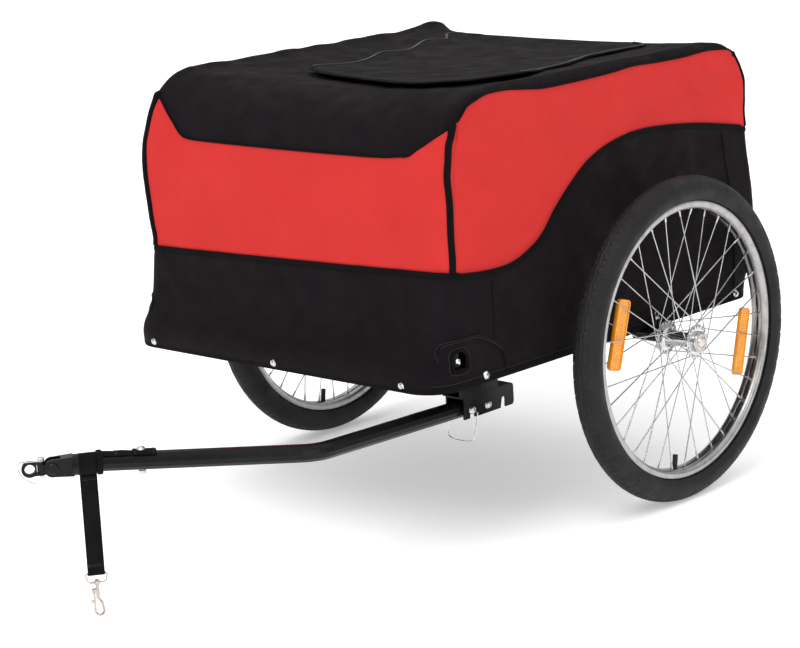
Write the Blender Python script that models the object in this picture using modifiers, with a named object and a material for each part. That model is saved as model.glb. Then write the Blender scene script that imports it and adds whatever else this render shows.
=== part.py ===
# Bicycle cargo trailer: two laced wheels, a tube frame with a fabric box,
# a folding tow bar with a lock pin, a jointed axle hitch and a safety strap.
# Metres, +Z up. The tow bar points to -Y and the trailer's left side is +X.

import math

import bmesh
import bpy
from mathutils import Matrix, Vector

for old in list(bpy.data.objects):
    bpy.data.objects.remove(old, do_unlink=True)

# Clearances
SEAT_GAP = 0.0003
PIN_CLEARANCE = 0.0003
CHEEK_CLEARANCE = 0.0003

# Wheels
TYRE_R = 0.247
TYRE_SECTION_R = 0.0218
TYRE_WALL = 0.0032
RIM_BELOW_TREAD = 0.037
RIM_R = TYRE_R - RIM_BELOW_TREAD
RIM_DEPTH = 0.013
RIM_INNER_R = RIM_R - RIM_DEPTH
RIM_HALF_W = 0.0145
RIM_WALL = 0.0016
RIM_EDGE = 0.0015
WHEEL_FROM_BED = 0.056
SPOKES_PER_FLANGE = 18
WHEEL_SEGMENTS = 2 * SPOKES_PER_FLANGE
SPOKE_CROSS_DEG = 60.0
SPOKE_R = 0.0010
FLANGE_R = 0.026
FLANGE_HOLE_R = 0.0222
FLANGE_X = 0.0275
FLANGE_T = 0.003
HUB_BARREL_R = 0.0115
HUB_BOSS_R = 0.0160
HUB_HALF_L = 0.036
VALVE_R = 0.0040
VALVE_TIP_R = RIM_INNER_R - 0.021
VALVE_DEG = -97.5
REFLECTOR_AT_R = RIM_INNER_R - 0.041
REFLECTOR_L = 0.105
REFLECTOR_W = 0.024
REFLECTOR_T = 0.0052
REFLECTOR_DEG = (166.0, -13.0)

# Axle, its bracket and the spring plunger that holds it
AXLE_R = 0.006
AXLE_HEAD_R = 0.0085
AXLE_HEAD_T = 0.0045
SOCKET_R = 0.0098
SOCKET_FROM_BED = -0.030
BRACKET_L = 0.064
BRACKET_T = 0.003
PLUNGER_FROM_BED = 0.0105
PLUNGER_R = 0.0022
PLUNGER_HOUSING_R = 0.0045
PLUNGER_HOUSING_TOP = 0.0260
PLUNGER_EYE_R = 0.0045
PLUNGER_TRAVEL = 0.006

# Bed frame
BED_OVER_AXLE = 0.011
BED_Z = TYRE_R + BED_OVER_AXLE
BED_HALF_W = 0.316
BED_FRONT = -0.489
BED_REAR = 0.263
BED_CORNER_R = 0.050
BED_REAR_CORNER_R = 0.042
FABRIC_T = 0.003
FRAME_R = 0.010
CROSS_R = 0.008
CROSS_YS = (-0.345, -0.060, 0.180)
FLOOR_T = 0.005
FLOOR_MARGIN = 0.0015
HEM_H = 0.028

# Side hoops and the bars between them
HOOP_R = 0.008
HOOP_FROM_BED = -0.025
HOOP_FRONT_FOOT_Y = -0.436
HOOP_REAR_FOOT_Y = 0.214
HOOP_FRONT_TOP_Y = -0.402
HOOP_REAR_TOP_Y = 0.238
HOOP_UNDER_ROOF = 0.0145
HOOP_BEND_R = 0.050
ROOF_BAR_R = 0.007
ROOF_BAR_YS = (-0.330, 0.172)
FOOT_BOLT_Z = BED_Z + 0.040

# Fabric body
ROOF_Z = 0.662
FLAP_T = 0.003
FLAP_HINGE_Y = 0.173
FLAP_LAP = 0.012

# Hem screws
SCREW_HEAD_R = 0.0065
SCREW_HEAD_H = 0.0040
SCREW_SHANK_R = 0.0020
SCREW_L = 0.0100
SCREW_FRONT_XS = (-BED_HALF_W + 0.054, -0.002, BED_HALF_W - 0.064)
SCREW_SIDE_YS = (-0.383, 0.219)
SCREW_REAR_XS = (0.0,)

# Tow bar receiver
RECEIVER_X = BED_HALF_W - 0.081
RECEIVER_HALF_W = 0.0175
RECEIVER_WALL = 0.0025
RECEIVER_MOUTH_Y = -0.362
RECEIVER_REAR_Y = -0.252
RECEIVER_TOP_Z = BED_Z - 0.0375
RECEIVER_BOTTOM_Z = RECEIVER_TOP_Z - 0.0325
RECEIVER_CORNER_R = 0.007
SADDLE_FRONT_Y = -0.368
SADDLE_REAR_Y = -0.286
SADDLE_WALL = 0.003
PIVOT_Y = -0.310
PIVOT_Z = RECEIVER_BOTTOM_Z + 0.012
LOCK_REACH = 0.035
PIVOT_R = 0.0030
LOCK_PIN_R = 0.0040
BOLT_HEAD_R = 0.0065
BOLT_HEAD_T = 0.0047

# Tow bar
BAR_R = 0.013
BAR_BEND_Y = -0.645
BAR_BEND_Z = PIVOT_Z + 0.0065
BAR_BEND_R = 0.070
BAR_END_X = 0.045
BAR_END_Y = -0.911
BAR_END_Z = 0.2255
BAR_LEVEL_L = 0.034
BAR_BORE_R = 0.0105
BAR_BORE_L = 0.026

# Hitch, measured forward from the tow bar's end
CAP_BACK = -0.0048
CAP_R = 0.0147
CAP_L = 0.0080
YOKE_HALF_W = 0.0100
YOKE_SLOT_HALF = 0.0063
CROSS_BOLT_S = 0.0297
CHEEK_R = 0.0120
KNUCKLE_R = 0.0100
RIVET_R = 0.0030
RIVET_HEAD_R = 0.0078
HITCH_PIN_S = 0.0445
HITCH_PIN_R = 0.0025
NOSE_R = 0.0055
NOSE_HALF_H = 0.0060
EAR_T = 0.0030
PLATE_HALF_T = 0.0030
EYE_S = 0.0600
EYE_HOLE_R = 0.0068
EYE_R = 0.0112
HITCH_BAIL_R = 0.0325
HITCH_BAIL_SIDE = 0.0078
WIRE_R = 0.0010

# Safety strap, ring and snap hook
STRAP_S = -0.0165
STRAP_W = 0.023
STRAP_T = 0.0018
STRAP_LOOP_Z = 0.0715
ANCHOR_FROM_S = -0.0310
ANCHOR_TO_S = -0.1080
ANCHOR_BOLT_S = -0.0890
ANCHOR_W = 0.022
RING_WIRE_R = 0.0013
RING_HALF_W = 0.0145
RING_DROP = 0.0130
RING_BOSS_R = 0.0036
HOOK_SHANK_R = 0.0017
HOOK_BOTTOM_Z = 0.0105
HOOK_WIRE_R = 0.0017
THUMB_TRAVEL = 0.008

# Derived places
BODY_H = ROOF_Z - BED_Z
HOOP_TOP_Z = ROOF_Z - HOOP_UNDER_ROOF
HOOP_X = BED_HALF_W + HOOP_FROM_BED
WHEEL_X = BED_HALF_W + WHEEL_FROM_BED
PLUNGER_X = BED_HALF_W + PLUNGER_FROM_BED
SOCKET_IN_X = BED_HALF_W + SOCKET_FROM_BED
FRAME_INSET = FABRIC_T + SEAT_GAP + FRAME_R
FRAME_Z = BED_Z + FRAME_R
FRAME_X = BED_HALF_W - FRAME_INSET
FLOOR_Z = FRAME_Z + FRAME_R + SEAT_GAP
BAR_HEADING = math.atan2(BAR_END_Y - BAR_BEND_Y, BAR_END_X - RECEIVER_X)
AHEAD = Vector((math.cos(BAR_HEADING), math.sin(BAR_HEADING), 0.0))
BESIDE = Vector((-math.sin(BAR_HEADING), math.cos(BAR_HEADING), 0.0))
BAR_END = Vector((BAR_END_X, BAR_END_Y, BAR_END_Z))
BAR_RUN = math.hypot(BAR_END_X - RECEIVER_X, BAR_END_Y - BAR_BEND_Y) - BAR_LEVEL_L
BAR_SLOPE = (BAR_END_Z - BAR_BEND_Z) / BAR_RUN
BAIL_FRONT_Y = BAR_END_Y + AHEAD.y * (HITCH_PIN_S + HITCH_BAIL_R) + BESIDE.y * HITCH_BAIL_SIDE
FRONT_REACH = WIRE_R - BAIL_FRONT_Y
REAR_REACH = BED_REAR + SCREW_HEAD_H
AXLE_Y = (FRONT_REACH - REAR_REACH) / 2.0

PARTS = bpy.data.collections.new("bicycle_cargo_trailer")
CUTTERS = bpy.data.collections.new("cutters")
bpy.context.scene.collection.children.link(PARTS)
bpy.context.scene.collection.children.link(CUTTERS)

CORNER_STEPS = (4, 3, 3, 4)

# Outlines drawn in a side view (Y, Z), a front view (X, Z) and along the hitch
SIDE_VIEW = Matrix(((0, 0, 1), (1, 0, 0), (0, 1, 0)))
FRONT_VIEW = Matrix.Rotation(math.radians(90), 3, "X")
ALONG_X = Matrix.Rotation(math.radians(90), 3, "Y")
HITCH_TURN = Matrix.Rotation(BAR_HEADING, 3, "Z")
HITCH_SIDE = HITCH_TURN @ FRONT_VIEW
UPRIGHT = Matrix.Identity(3)


def material(name, colour, roughness, metallic=0.0):
    made = bpy.data.materials.new(name)
    made.use_nodes = True
    shader = made.node_tree.nodes["Principled BSDF"]
    shader.inputs["Base Color"].default_value = (*colour, 1.0)
    shader.inputs["Roughness"].default_value = roughness
    shader.inputs["Metallic"].default_value = metallic
    made.diffuse_color = (*colour, 1.0)
    return made


BLACK_PAINT = ((0.012, 0.012, 0.013), 0.32, 0.0)
BLACK_CLOTH = ((0.014, 0.012, 0.015), 0.85, 0.0)
RED_CLOTH = ((0.72, 0.045, 0.035), 0.8, 0.0)
RUBBER = ((0.012, 0.012, 0.012), 0.7, 0.0)
ALUMINIUM = ((0.62, 0.62, 0.64), 0.3, 1.0)
CHROME = ((0.78, 0.78, 0.80), 0.12, 1.0)
ZINC = ((0.66, 0.67, 0.68), 0.25, 1.0)
AMBER = ((0.95, 0.33, 0.01), 0.18, 0.0)

ORIGINS = {}
root = bpy.data.objects.new("trailer_origin", None)
root.location = (0.0, AXLE_Y, 0.0)
PARTS.objects.link(root)
ORIGINS[root.name] = Vector((0.0, 0.0, 0.0))


def pivot(name, at, parent=root):
    made = bpy.data.objects.new(name, None)
    made.empty_display_size = 0.02
    PARTS.objects.link(made)
    made.parent = parent
    made.location = Vector(at) - ORIGINS[parent.name]
    ORIGINS[name] = Vector(at)
    return made


def put(thing, holder, at=(0.0, 0.0, 0.0), turn=UPRIGHT):
    thing.parent = holder
    spot = Vector(at) - ORIGINS[holder.name]
    thing.matrix_basis = Matrix.Translation(spot) @ turn.to_4x4()
    return thing


def part(name, mesh, look, holder, at=(0.0, 0.0, 0.0), turn=UPRIGHT, smooth=35.0):
    made = bpy.data.objects.new(name, mesh)
    PARTS.objects.link(made)
    if not mesh.materials:
        mesh.materials.append(material(name, *look))
    if smooth:
        mesh.shade_smooth()
        mesh.set_sharp_from_angle(angle=math.radians(smooth))
    return put(made, holder, at, turn)


def cutter(name, mesh, holder, at=(0.0, 0.0, 0.0), turn=UPRIGHT):
    made = bpy.data.objects.new(name, mesh)
    CUTTERS.objects.link(made)
    made.hide_render = True
    made.display_type = "WIRE"
    return put(made, holder, at, turn)


def combine(target, tool, operation):
    step = target.modifiers.new(operation.lower() + "_" + tool.name, "BOOLEAN")
    step.operation = operation
    step.solver = "EXACT"
    step.object = tool
    return target


def cut(target, tool):
    return combine(target, tool, "DIFFERENCE")


def join(target, tool):
    return combine(target, tool, "UNION")


def welded(mesh):
    work = bmesh.new()
    work.from_mesh(mesh)
    bmesh.ops.remove_doubles(work, verts=work.verts, dist=0.00002)
    bmesh.ops.recalc_face_normals(work, faces=work.faces)
    work.to_mesh(mesh)
    work.free()
    return mesh


def curve_to_mesh(name, data):
    carrier = bpy.data.objects.new(name, data)
    bpy.context.scene.collection.objects.link(carrier)
    bpy.context.view_layer.update()
    graph = bpy.context.evaluated_depsgraph_get()
    mesh = bpy.data.meshes.new_from_object(carrier.evaluated_get(graph))
    bpy.data.objects.remove(carrier, do_unlink=True)
    bpy.data.curves.remove(data)
    mesh.name = name
    return welded(mesh)


def tube(name, runs, radius, resolution=2, closed=False, widths=None):
    data = bpy.data.curves.new(name, "CURVE")
    data.dimensions = "3D"
    data.bevel_depth = radius
    data.bevel_resolution = resolution
    data.use_fill_caps = True
    data.twist_mode = "MINIMUM"
    for run in runs:
        line = data.splines.new("POLY")
        line.points.add(len(run) - 1)
        for index, spot in enumerate(run):
            line.points[index].co = (*spot, 1.0)
            line.points[index].radius = widths[index] if widths else 1.0
        line.use_cyclic_u = closed
    return curve_to_mesh(name, data)


def slab(name, loops, thickness):
    data = bpy.data.curves.new(name, "CURVE")
    data.dimensions = "2D"
    data.fill_mode = "BOTH"
    data.extrude = thickness / 2.0
    for loop in loops:
        line = data.splines.new("POLY")
        line.points.add(len(loop) - 1)
        for index, (across, up) in enumerate(loop):
            line.points[index].co = (across, up, 0.0, 1.0)
        line.use_cyclic_u = True
    return curve_to_mesh(name, data)


def rod(name, radius, length, sides=12):
    mesh = bpy.data.meshes.new(name)
    work = bmesh.new()
    bmesh.ops.create_cone(
        work, cap_ends=True, segments=sides, radius1=radius, radius2=radius, depth=length
    )
    work.to_mesh(mesh)
    work.free()
    return mesh


def block(name, size):
    mesh = bpy.data.meshes.new(name)
    work = bmesh.new()
    bmesh.ops.create_cube(work, size=1.0)
    bmesh.ops.scale(work, verts=work.verts, vec=Vector(size))
    work.to_mesh(mesh)
    work.free()
    return mesh


def turned(thing, steps):
    screw = thing.modifiers.new("turn", "SCREW")
    screw.axis = "Z"
    screw.angle = math.radians(360)
    screw.steps = steps
    screw.render_steps = steps
    screw.use_merge_vertices = True
    screw.merge_threshold = 0.00001
    return thing


def profile(name, spots, ring=False):
    mesh = bpy.data.meshes.new(name)
    edges = [(index, index + 1) for index in range(len(spots) - 1)]
    if ring:
        edges.append((len(spots) - 1, 0))
    mesh.from_pydata([(r, 0.0, z) for r, z in spots], edges, [])
    return mesh


def arc(centre, radius, start, stop, steps):
    made = []
    for index in range(steps + 1):
        angle = math.radians(start + (stop - start) * index / steps)
        made.append((centre[0] + radius * math.cos(angle), centre[1] + radius * math.sin(angle)))
    return made


def round_box(left, right, low, high, radii, steps):
    # Radii run from the low-right corner against the clock
    corners = ((right, low, -90), (right, high, 0), (left, high, 90), (left, low, 180))
    made = []
    for (x, y, start), radius, count in zip(corners, radii, steps):
        inward_x = -radius if x == right else radius
        inward_y = -radius if y == high else radius
        made += arc((x + inward_x, y + inward_y), radius, start, start + 90, count)
    return made


def bent(spots, radius, steps):
    # A run of straight lengths with round bends at the inner spots
    spots = [Vector(spot) for spot in spots]
    made = [spots[0]]
    for before, corner, after in zip(spots, spots[1:], spots[2:]):
        back = (before - corner).normalized()
        on = (after - corner).normalized()
        half = back.angle(on) / 2.0
        setback = radius / math.tan(half)
        middle = corner + (back + on).normalized() * (radius / math.sin(half))
        first = corner + back * setback - middle
        last = corner + on * setback - middle
        sweep = first.angle(last)
        for index in range(steps + 1):
            share = index / steps
            made.append(
                middle
                + first * (math.sin((1 - share) * sweep) / math.sin(sweep))
                + last * (math.sin(share * sweep) / math.sin(sweep))
            )
    made.append(spots[-1])
    return made


def hitch_spot(ahead, beside=0.0, up=0.0):
    return BAR_END + AHEAD * ahead + BESIDE * beside + Vector((0.0, 0.0, up))


# Bed frame: one bent tube, closed on itself
frame_loop = round_box(
    -FRAME_X,
    FRAME_X,
    BED_FRONT + FRAME_INSET,
    BED_REAR - FRAME_INSET,
    (
        BED_CORNER_R - FRAME_INSET,
        BED_REAR_CORNER_R - FRAME_INSET,
        BED_REAR_CORNER_R - FRAME_INSET,
        BED_CORNER_R - FRAME_INSET,
    ),
    CORNER_STEPS,
)
frame_run = [(x, y, 0.0) for x, y in frame_loop]
base_frame = part(
    "base_frame",
    tube("base_frame", [frame_run], FRAME_R, 3, closed=True),
    BLACK_PAINT,
    root,
    (0.0, 0.0, FRAME_Z),
)
frame_clear = cutter(
    "frame_clear",
    tube("frame_clear", [frame_run], FRAME_R + SEAT_GAP, 3, closed=True),
    root,
    (0.0, 0.0, FRAME_Z),
)

for index, cross_y in enumerate(CROSS_YS):
    run = [(-FRAME_X, cross_y, FRAME_Z), (FRAME_X, cross_y, FRAME_Z)]
    name = "floor_cross_tube_%d" % (index + 1)
    cross = part(name, tube(name, [run], CROSS_R, 3), BLACK_PAINT, root)
    cut(cross, frame_clear)

# Side hoops with fish-mouthed feet, and the two bars that hold the roof
hoop_clearers = []
for side, label in ((1, "left"), (-1, "right")):
    corners = [
        (side * FRAME_X, HOOP_FRONT_FOOT_Y, FRAME_Z),
        (side * HOOP_X, HOOP_FRONT_TOP_Y, HOOP_TOP_Z),
        (side * HOOP_X, HOOP_REAR_TOP_Y, HOOP_TOP_Z),
        (side * FRAME_X, HOOP_REAR_FOOT_Y, FRAME_Z),
    ]
    run = bent(corners, HOOP_BEND_R, 5)
    name = "side_hoop_" + label
    hoop = part(name, tube(name, [run], HOOP_R, 2), BLACK_PAINT, root)
    cut(hoop, frame_clear)
    clear_mesh = tube("hoop_clear_" + label, [run], HOOP_R + SEAT_GAP, 2)
    hoop_clearers.append(cutter("hoop_clear_" + label, clear_mesh, root))

for bar_y, label in zip(ROOF_BAR_YS, ("front", "rear")):
    run = [(-HOOP_X, bar_y, HOOP_TOP_Z), (HOOP_X, bar_y, HOOP_TOP_Z)]
    name = "roof_bar_" + label
    bar = part(name, tube(name, [run], ROOF_BAR_R, 2), BLACK_PAINT, root)
    for clearer in hoop_clearers:
        cut(bar, clearer)

floor_loop = round_box(
    -BED_HALF_W + FABRIC_T + FLOOR_MARGIN,
    BED_HALF_W - FABRIC_T - FLOOR_MARGIN,
    BED_FRONT + FABRIC_T + FLOOR_MARGIN,
    BED_REAR - FABRIC_T - FLOOR_MARGIN,
    (
        BED_CORNER_R - FABRIC_T - FLOOR_MARGIN,
        BED_REAR_CORNER_R - FABRIC_T - FLOOR_MARGIN,
        BED_REAR_CORNER_R - FABRIC_T - FLOOR_MARGIN,
        BED_CORNER_R - FABRIC_T - FLOOR_MARGIN,
    ),
    CORNER_STEPS,
)
floor_panel = part(
    "floor_panel",
    slab("floor_panel", [floor_loop], FLOOR_T),
    BLACK_CLOTH,
    root,
    (0.0, 0.0, FLOOR_Z + FLOOR_T / 2.0),
)
for clearer in hoop_clearers:
    cut(floor_panel, clearer)



def body_z(share):
    return BED_Z + share * BODY_H


# Fabric body: height, half width, front, rear and corner radii of each level
BODY_LEVELS = (
    (BED_Z, BED_HALF_W, BED_FRONT, BED_REAR, BED_CORNER_R, BED_REAR_CORNER_R),
    (BED_Z + HEM_H, BED_HALF_W, BED_FRONT, BED_REAR, BED_CORNER_R, BED_REAR_CORNER_R),
    (BED_Z + 0.067, BED_HALF_W - 0.001, BED_FRONT + 0.037, BED_REAR, 0.026, 0.034),
    (body_z(0.3886), BED_HALF_W - 0.006, BED_FRONT + 0.048, BED_REAR, 0.018, 0.026),
    (body_z(0.6609), BED_HALF_W - 0.008, BED_FRONT + 0.050, BED_REAR - 0.004, 0.018, 0.020),
    (body_z(0.8218), BED_HALF_W - 0.009, BED_FRONT + 0.056, BED_REAR - 0.006, 0.018, 0.018),
    (ROOF_Z - 0.040, BED_HALF_W - 0.010, BED_FRONT + 0.067, BED_REAR - 0.012, 0.018, 0.018),
    (ROOF_Z - 0.020, BED_HALF_W - 0.011, BED_FRONT + 0.085, BED_REAR - 0.026, 0.018, 0.018),
    (ROOF_Z - 0.007, BED_HALF_W - 0.014, BED_FRONT + 0.105, BED_REAR - 0.048, 0.018, 0.018),
    (ROOF_Z, BED_HALF_W - 0.021, BED_FRONT + 0.131, BED_REAR - 0.072, 0.018, 0.018),
)


def fabric_loft(name, inset, base_drop):
    # Rounded rectangles of unlike size and corner, skinned and capped
    mesh = bpy.data.meshes.new(name)
    work = bmesh.new()
    rings = []
    for index, (z, half, front, rear, front_r, rear_r) in enumerate(BODY_LEVELS):
        share = max(0.0, min(1.0, (z - BODY_LEVELS[5][0]) / (ROOF_Z - BODY_LEVELS[5][0])))
        level_z = z - inset * share - (base_drop if index == 0 else 0.0)
        loop = round_box(
            -half + inset,
            half - inset,
            front + inset,
            rear - inset,
            (front_r - inset, rear_r - inset, rear_r - inset, front_r - inset),
            CORNER_STEPS,
        )
        rings.append([work.verts.new((x, y, level_z)) for x, y in loop])
    for low, high in zip(rings, rings[1:]):
        for index in range(len(low)):
            after = (index + 1) % len(low)
            work.faces.new((low[index], low[after], high[after], high[index]))
    work.faces.new(list(reversed(rings[0])))
    work.faces.new(rings[-1])
    work.to_mesh(mesh)
    work.free()
    return mesh


# Where the red cover meets the black tub, seen from the side
SEAM_LINE = (
    (-0.600, body_z(0.3886)),
    (-0.440, body_z(0.3886)),
    (-0.380, body_z(0.3886)),
    (-0.322, body_z(0.3936)),
    (-0.285, body_z(0.4158)),
    (-0.252, body_z(0.4579)),
    (-0.220, body_z(0.5347)),
    (-0.180, body_z(0.6262)),
    (-0.128, body_z(0.7005)),
    (-0.060, body_z(0.7426)),
    (0.011, body_z(0.7525)),
    (0.130, body_z(0.7302)),
    (0.253, body_z(0.6733)),
    (0.400, body_z(0.6287)),
)


def below_seam(name, lift):
    loop = [(y, z + lift) for y, z in SEAM_LINE]
    loop += [(SEAM_LINE[-1][0], BED_Z - 0.05), (SEAM_LINE[0][0], BED_Z - 0.05)]
    return slab(name, [loop], 2.4 * BED_HALF_W)


inner_space = cutter("inner_space", fabric_loft("inner_space", FABRIC_T, 0.02), root)
tub = part("tub", fabric_loft("tub", 0.0, 0.0), BLACK_CLOTH, root, smooth=40.0)
cut(tub, inner_space)
tub_part = cutter("tub_part", below_seam("tub_part", 0.0), root, turn=SIDE_VIEW)
combine(tub, tub_part, "INTERSECT")

cover = part("cover", fabric_loft("cover", 0.0, 0.0), RED_CLOTH, root, smooth=40.0)
cut(cover, inner_space)
cover_limit = cutter("cover_limit", below_seam("cover_limit", SEAT_GAP), root, turn=SIDE_VIEW)
cut(cover, cover_limit)

# Flap in the roof: wide and bowed at the front, tapered to its rear hinge
FLAP_EDGE = (
    (-0.188, FLAP_HINGE_Y),
    (-0.184, 0.050),
    (-0.165, -0.080),
    (-0.147, -0.170),
    (-0.138, -0.228),
    (-0.104, -0.264),
    (-0.042, -0.293),
    (0.060, -0.321),
    (0.140, -0.341),
    (0.195, -0.345),
    (0.232, -0.322),
    (0.256, -0.274),
    (0.252, -0.215),
    (0.226, -0.100),
    (0.200, 0.030),
    (0.172, FLAP_HINGE_Y),
)


def shrunk(loop, amount):
    centre = Vector((sum(x for x, y in loop), sum(y for x, y in loop))) / len(loop)
    made = []
    for x, y in loop:
        spot = Vector((x, y))
        made.append(tuple(spot + (centre - spot).normalized() * amount * 1.3))
    return made


roof_hole = cutter(
    "roof_hole", slab("roof_hole", [shrunk(FLAP_EDGE, FLAP_LAP)], 0.05), root, (0, 0, ROOF_Z)
)
cut(cover, roof_hole)

flap_z = ROOF_Z + SEAT_GAP + FLAP_T / 2.0
flap_pivot = pivot("roof_flap_hinge", (0.0, FLAP_HINGE_Y, flap_z))
part("roof_flap", slab("roof_flap", [FLAP_EDGE], FLAP_T), BLACK_CLOTH, flap_pivot, (0, 0, flap_z))

# Windows in the tub's front corners, where the hoop's foot bolt shows
window_loop = [(-0.014, -0.017), (0.014, -0.017)] + arc((0.0, 0.003), 0.014, 0, 180, 6)
window_mesh = slab("foot_window", [window_loop], 3.0 * FRAME_INSET)
for side, label in ((1, "left"), (-1, "right")):
    across = BED_HALF_W - FABRIC_T / 2.0
    window = cutter(
        "foot_window_" + label,
        window_mesh,
        root,
        (side * across, HOOP_FRONT_FOOT_Y, FOOT_BOLT_Z),
        SIDE_VIEW,
    )
    cut(tub, window)

# Round-headed screws and bolts share one turned form
dome = [
    (0.0, 1.0),
    (0.70, 0.68),
    (1.0, 0.0),
]


def headed(name, head_r, head_h, shank_r, length):
    spots = [(r * head_r, z * head_h) for r, z in dome]
    spots += [(shank_r, 0.0), (shank_r, -length), (0.0, -length)]
    return profile(name, spots)


def facing(direction):
    return Vector(direction).to_track_quat("Z", "Y").to_matrix()


def screw_at(name, at, direction, head_r, head_h, shank_r, length, steps=9):
    mesh = headed(name, head_r, head_h, shank_r, length)
    seat = Vector(at) + Vector(direction) * SEAT_GAP
    made = part(name, mesh, CHROME, root, seat, facing(direction), smooth=0.0)
    turned(made, steps)
    return made


screw_places = []
for index, x in enumerate(SCREW_FRONT_XS):
    screw_places.append(("front_%d" % (index + 1), (x, BED_FRONT), (0, -1, 0)))
for side, label in ((1, "left"), (-1, "right")):
    for y, end in zip(SCREW_SIDE_YS, ("front", "rear")):
        place = (side * BED_HALF_W, y)
        screw_places.append(("%s_%s" % (label, end), place, (side, 0, 0)))
for index, x in enumerate(SCREW_REAR_XS):
    screw_places.append(("rear_%d" % (index + 1), (x, BED_REAR), (0, 1, 0)))
hole_mesh = rod("screw_hole", SCREW_SHANK_R + PIN_CLEARANCE, 2.0 * SCREW_L + 0.004, 6)
for label, (x, y), direction in screw_places:
    at = (x, y, FRAME_Z)
    screw_at(
        "hem_screw_" + label, at, direction, SCREW_HEAD_R, SCREW_HEAD_H, SCREW_SHANK_R, SCREW_L
    )
    hole = cutter("screw_hole_" + label, hole_mesh, root, at, facing(direction))
    cut(tub, hole)
    cut(base_frame, hole)

# Bolt through each hoop's front foot, seen through the tub's window
foot_share = (FOOT_BOLT_Z - FRAME_Z) / (HOOP_TOP_Z - FRAME_Z)
foot_y = HOOP_FRONT_FOOT_Y + (HOOP_FRONT_TOP_Y - HOOP_FRONT_FOOT_Y) * foot_share
foot_x = FRAME_X + (HOOP_X - FRAME_X) * foot_share
foot_hole = rod("foot_hole", SCREW_SHANK_R + PIN_CLEARANCE, 0.02, 6)
for side, label in ((1, "left"), (-1, "right")):
    hoop = bpy.data.objects["side_hoop_" + label]
    direction = (side, 0, 0)
    at = (side * (foot_x + HOOP_R), foot_y, FOOT_BOLT_Z)
    screw_at(
        "foot_bolt_" + label, at, direction, 0.0058, 0.0034, SCREW_SHANK_R, HOOP_R
    )
    cut(hoop, cutter("foot_hole_" + label, foot_hole, root, at, facing(direction)))

# Axle brackets: saddle plate, axle socket and plunger housing in one weldment
hub_inner_x = WHEEL_X - HUB_HALF_L
socket_out_x = hub_inner_x - SEAT_GAP
housing_top = TYRE_R + PLUNGER_HOUSING_TOP
for side, label in ((1, "left"), (-1, "right")):
    plate_out = PLUNGER_X + PLUNGER_HOUSING_R
    plate_w = plate_out - SOCKET_IN_X
    plate_z = BED_Z - SEAT_GAP - BRACKET_T / 2.0
    bracket = part(
        "axle_bracket_" + label,
        block("axle_bracket_" + label, (plate_w, BRACKET_L, BRACKET_T)),
        BLACK_PAINT,
        root,
        (side * (SOCKET_IN_X + plate_out) / 2.0, 0.0, plate_z),
    )
    socket_mesh = rod("socket_" + label, SOCKET_R, socket_out_x - SOCKET_IN_X, 16)
    socket_x = side * (SOCKET_IN_X + socket_out_x) / 2.0
    join(bracket, cutter("socket_" + label, socket_mesh, root, (socket_x, 0, TYRE_R), ALONG_X))
    housing = rod("housing_" + label, PLUNGER_HOUSING_R, PLUNGER_HOUSING_TOP, 10)
    housing_z = TYRE_R + PLUNGER_HOUSING_TOP / 2.0
    housing_at = (side * PLUNGER_X, 0.0, housing_z)
    join(bracket, cutter("housing_" + label, housing, root, housing_at))
    bore = rod("axle_bore_" + label, AXLE_R + PIN_CLEARANCE, 0.12, 16)
    bore_at = (side * socket_out_x, 0.0, TYRE_R)
    cut(bracket, cutter("axle_bore_" + label, bore, root, bore_at, ALONG_X))
    well = rod("plunger_bore_" + label, PLUNGER_R + PIN_CLEARANCE, 0.06, 8)
    well_at = (side * PLUNGER_X, 0.0, TYRE_R + 0.03)
    cut(bracket, cutter("plunger_bore_" + label, well, root, well_at))

    outer_x = WHEEL_X + HUB_HALF_L + SEAT_GAP
    axle_l = outer_x - SOCKET_IN_X
    groove_r = AXLE_R - 0.0012
    groove_half = PLUNGER_R + 0.0004
    groove_at = outer_x - PLUNGER_X
    spots = [
        (0.0, AXLE_HEAD_T),
        (AXLE_HEAD_R * 0.55, AXLE_HEAD_T * 0.86),
        (AXLE_HEAD_R * 0.88, AXLE_HEAD_T * 0.48),
        (AXLE_HEAD_R, 0.0),
        (AXLE_R, 0.0),
        (AXLE_R, -groove_at + groove_half),
        (groove_r, -groove_at + groove_half),
        (groove_r, -groove_at - groove_half),
        (AXLE_R, -groove_at - groove_half),
        (AXLE_R, -axle_l),
        (0.0, -axle_l),
    ]
    axle = part(
        "axle_" + label,
        profile("axle_" + label, spots),
        CHROME,
        root,
        (side * outer_x, 0.0, TYRE_R),
        facing((side, 0, 0)),
        smooth=0.0,
    )
    turned(axle, 16)

    # Spring plunger: pin with a flat pull ring standing on its collar
    tip_z = TYRE_R + groove_r + 0.0004
    plunger_pivot = pivot("axle_plunger_slide_" + label, (side * PLUNGER_X, 0.0, housing_top))
    collar = 0.003
    pin_spots = [
        (0.0, collar),
        (PLUNGER_HOUSING_R * 0.9, collar),
        (PLUNGER_HOUSING_R * 0.9, SEAT_GAP),
        (PLUNGER_R, SEAT_GAP),
        (PLUNGER_R, tip_z - housing_top),
        (0.0, tip_z - housing_top),
    ]
    plunger = part(
        "axle_plunger_" + label,
        profile("axle_plunger_" + label, pin_spots),
        CHROME,
        plunger_pivot,
        (side * PLUNGER_X, 0.0, housing_top),
        smooth=0.0,
    )
    turned(plunger, 10)
    eye_run = [(y, z) for y, z in arc((0.0, 0.0), PLUNGER_EYE_R, 0, 324, 9)]
    eye_mesh = tube("pull_eye_" + label, [[(0.0, y, z) for y, z in eye_run]], 0.0012, 1, True)
    eye_z = housing_top + collar + PLUNGER_EYE_R
    eye_at = (side * PLUNGER_X, 0.0, eye_z)
    join(plunger, cutter("pull_eye_" + label, eye_mesh, plunger_pivot, eye_at))

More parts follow.
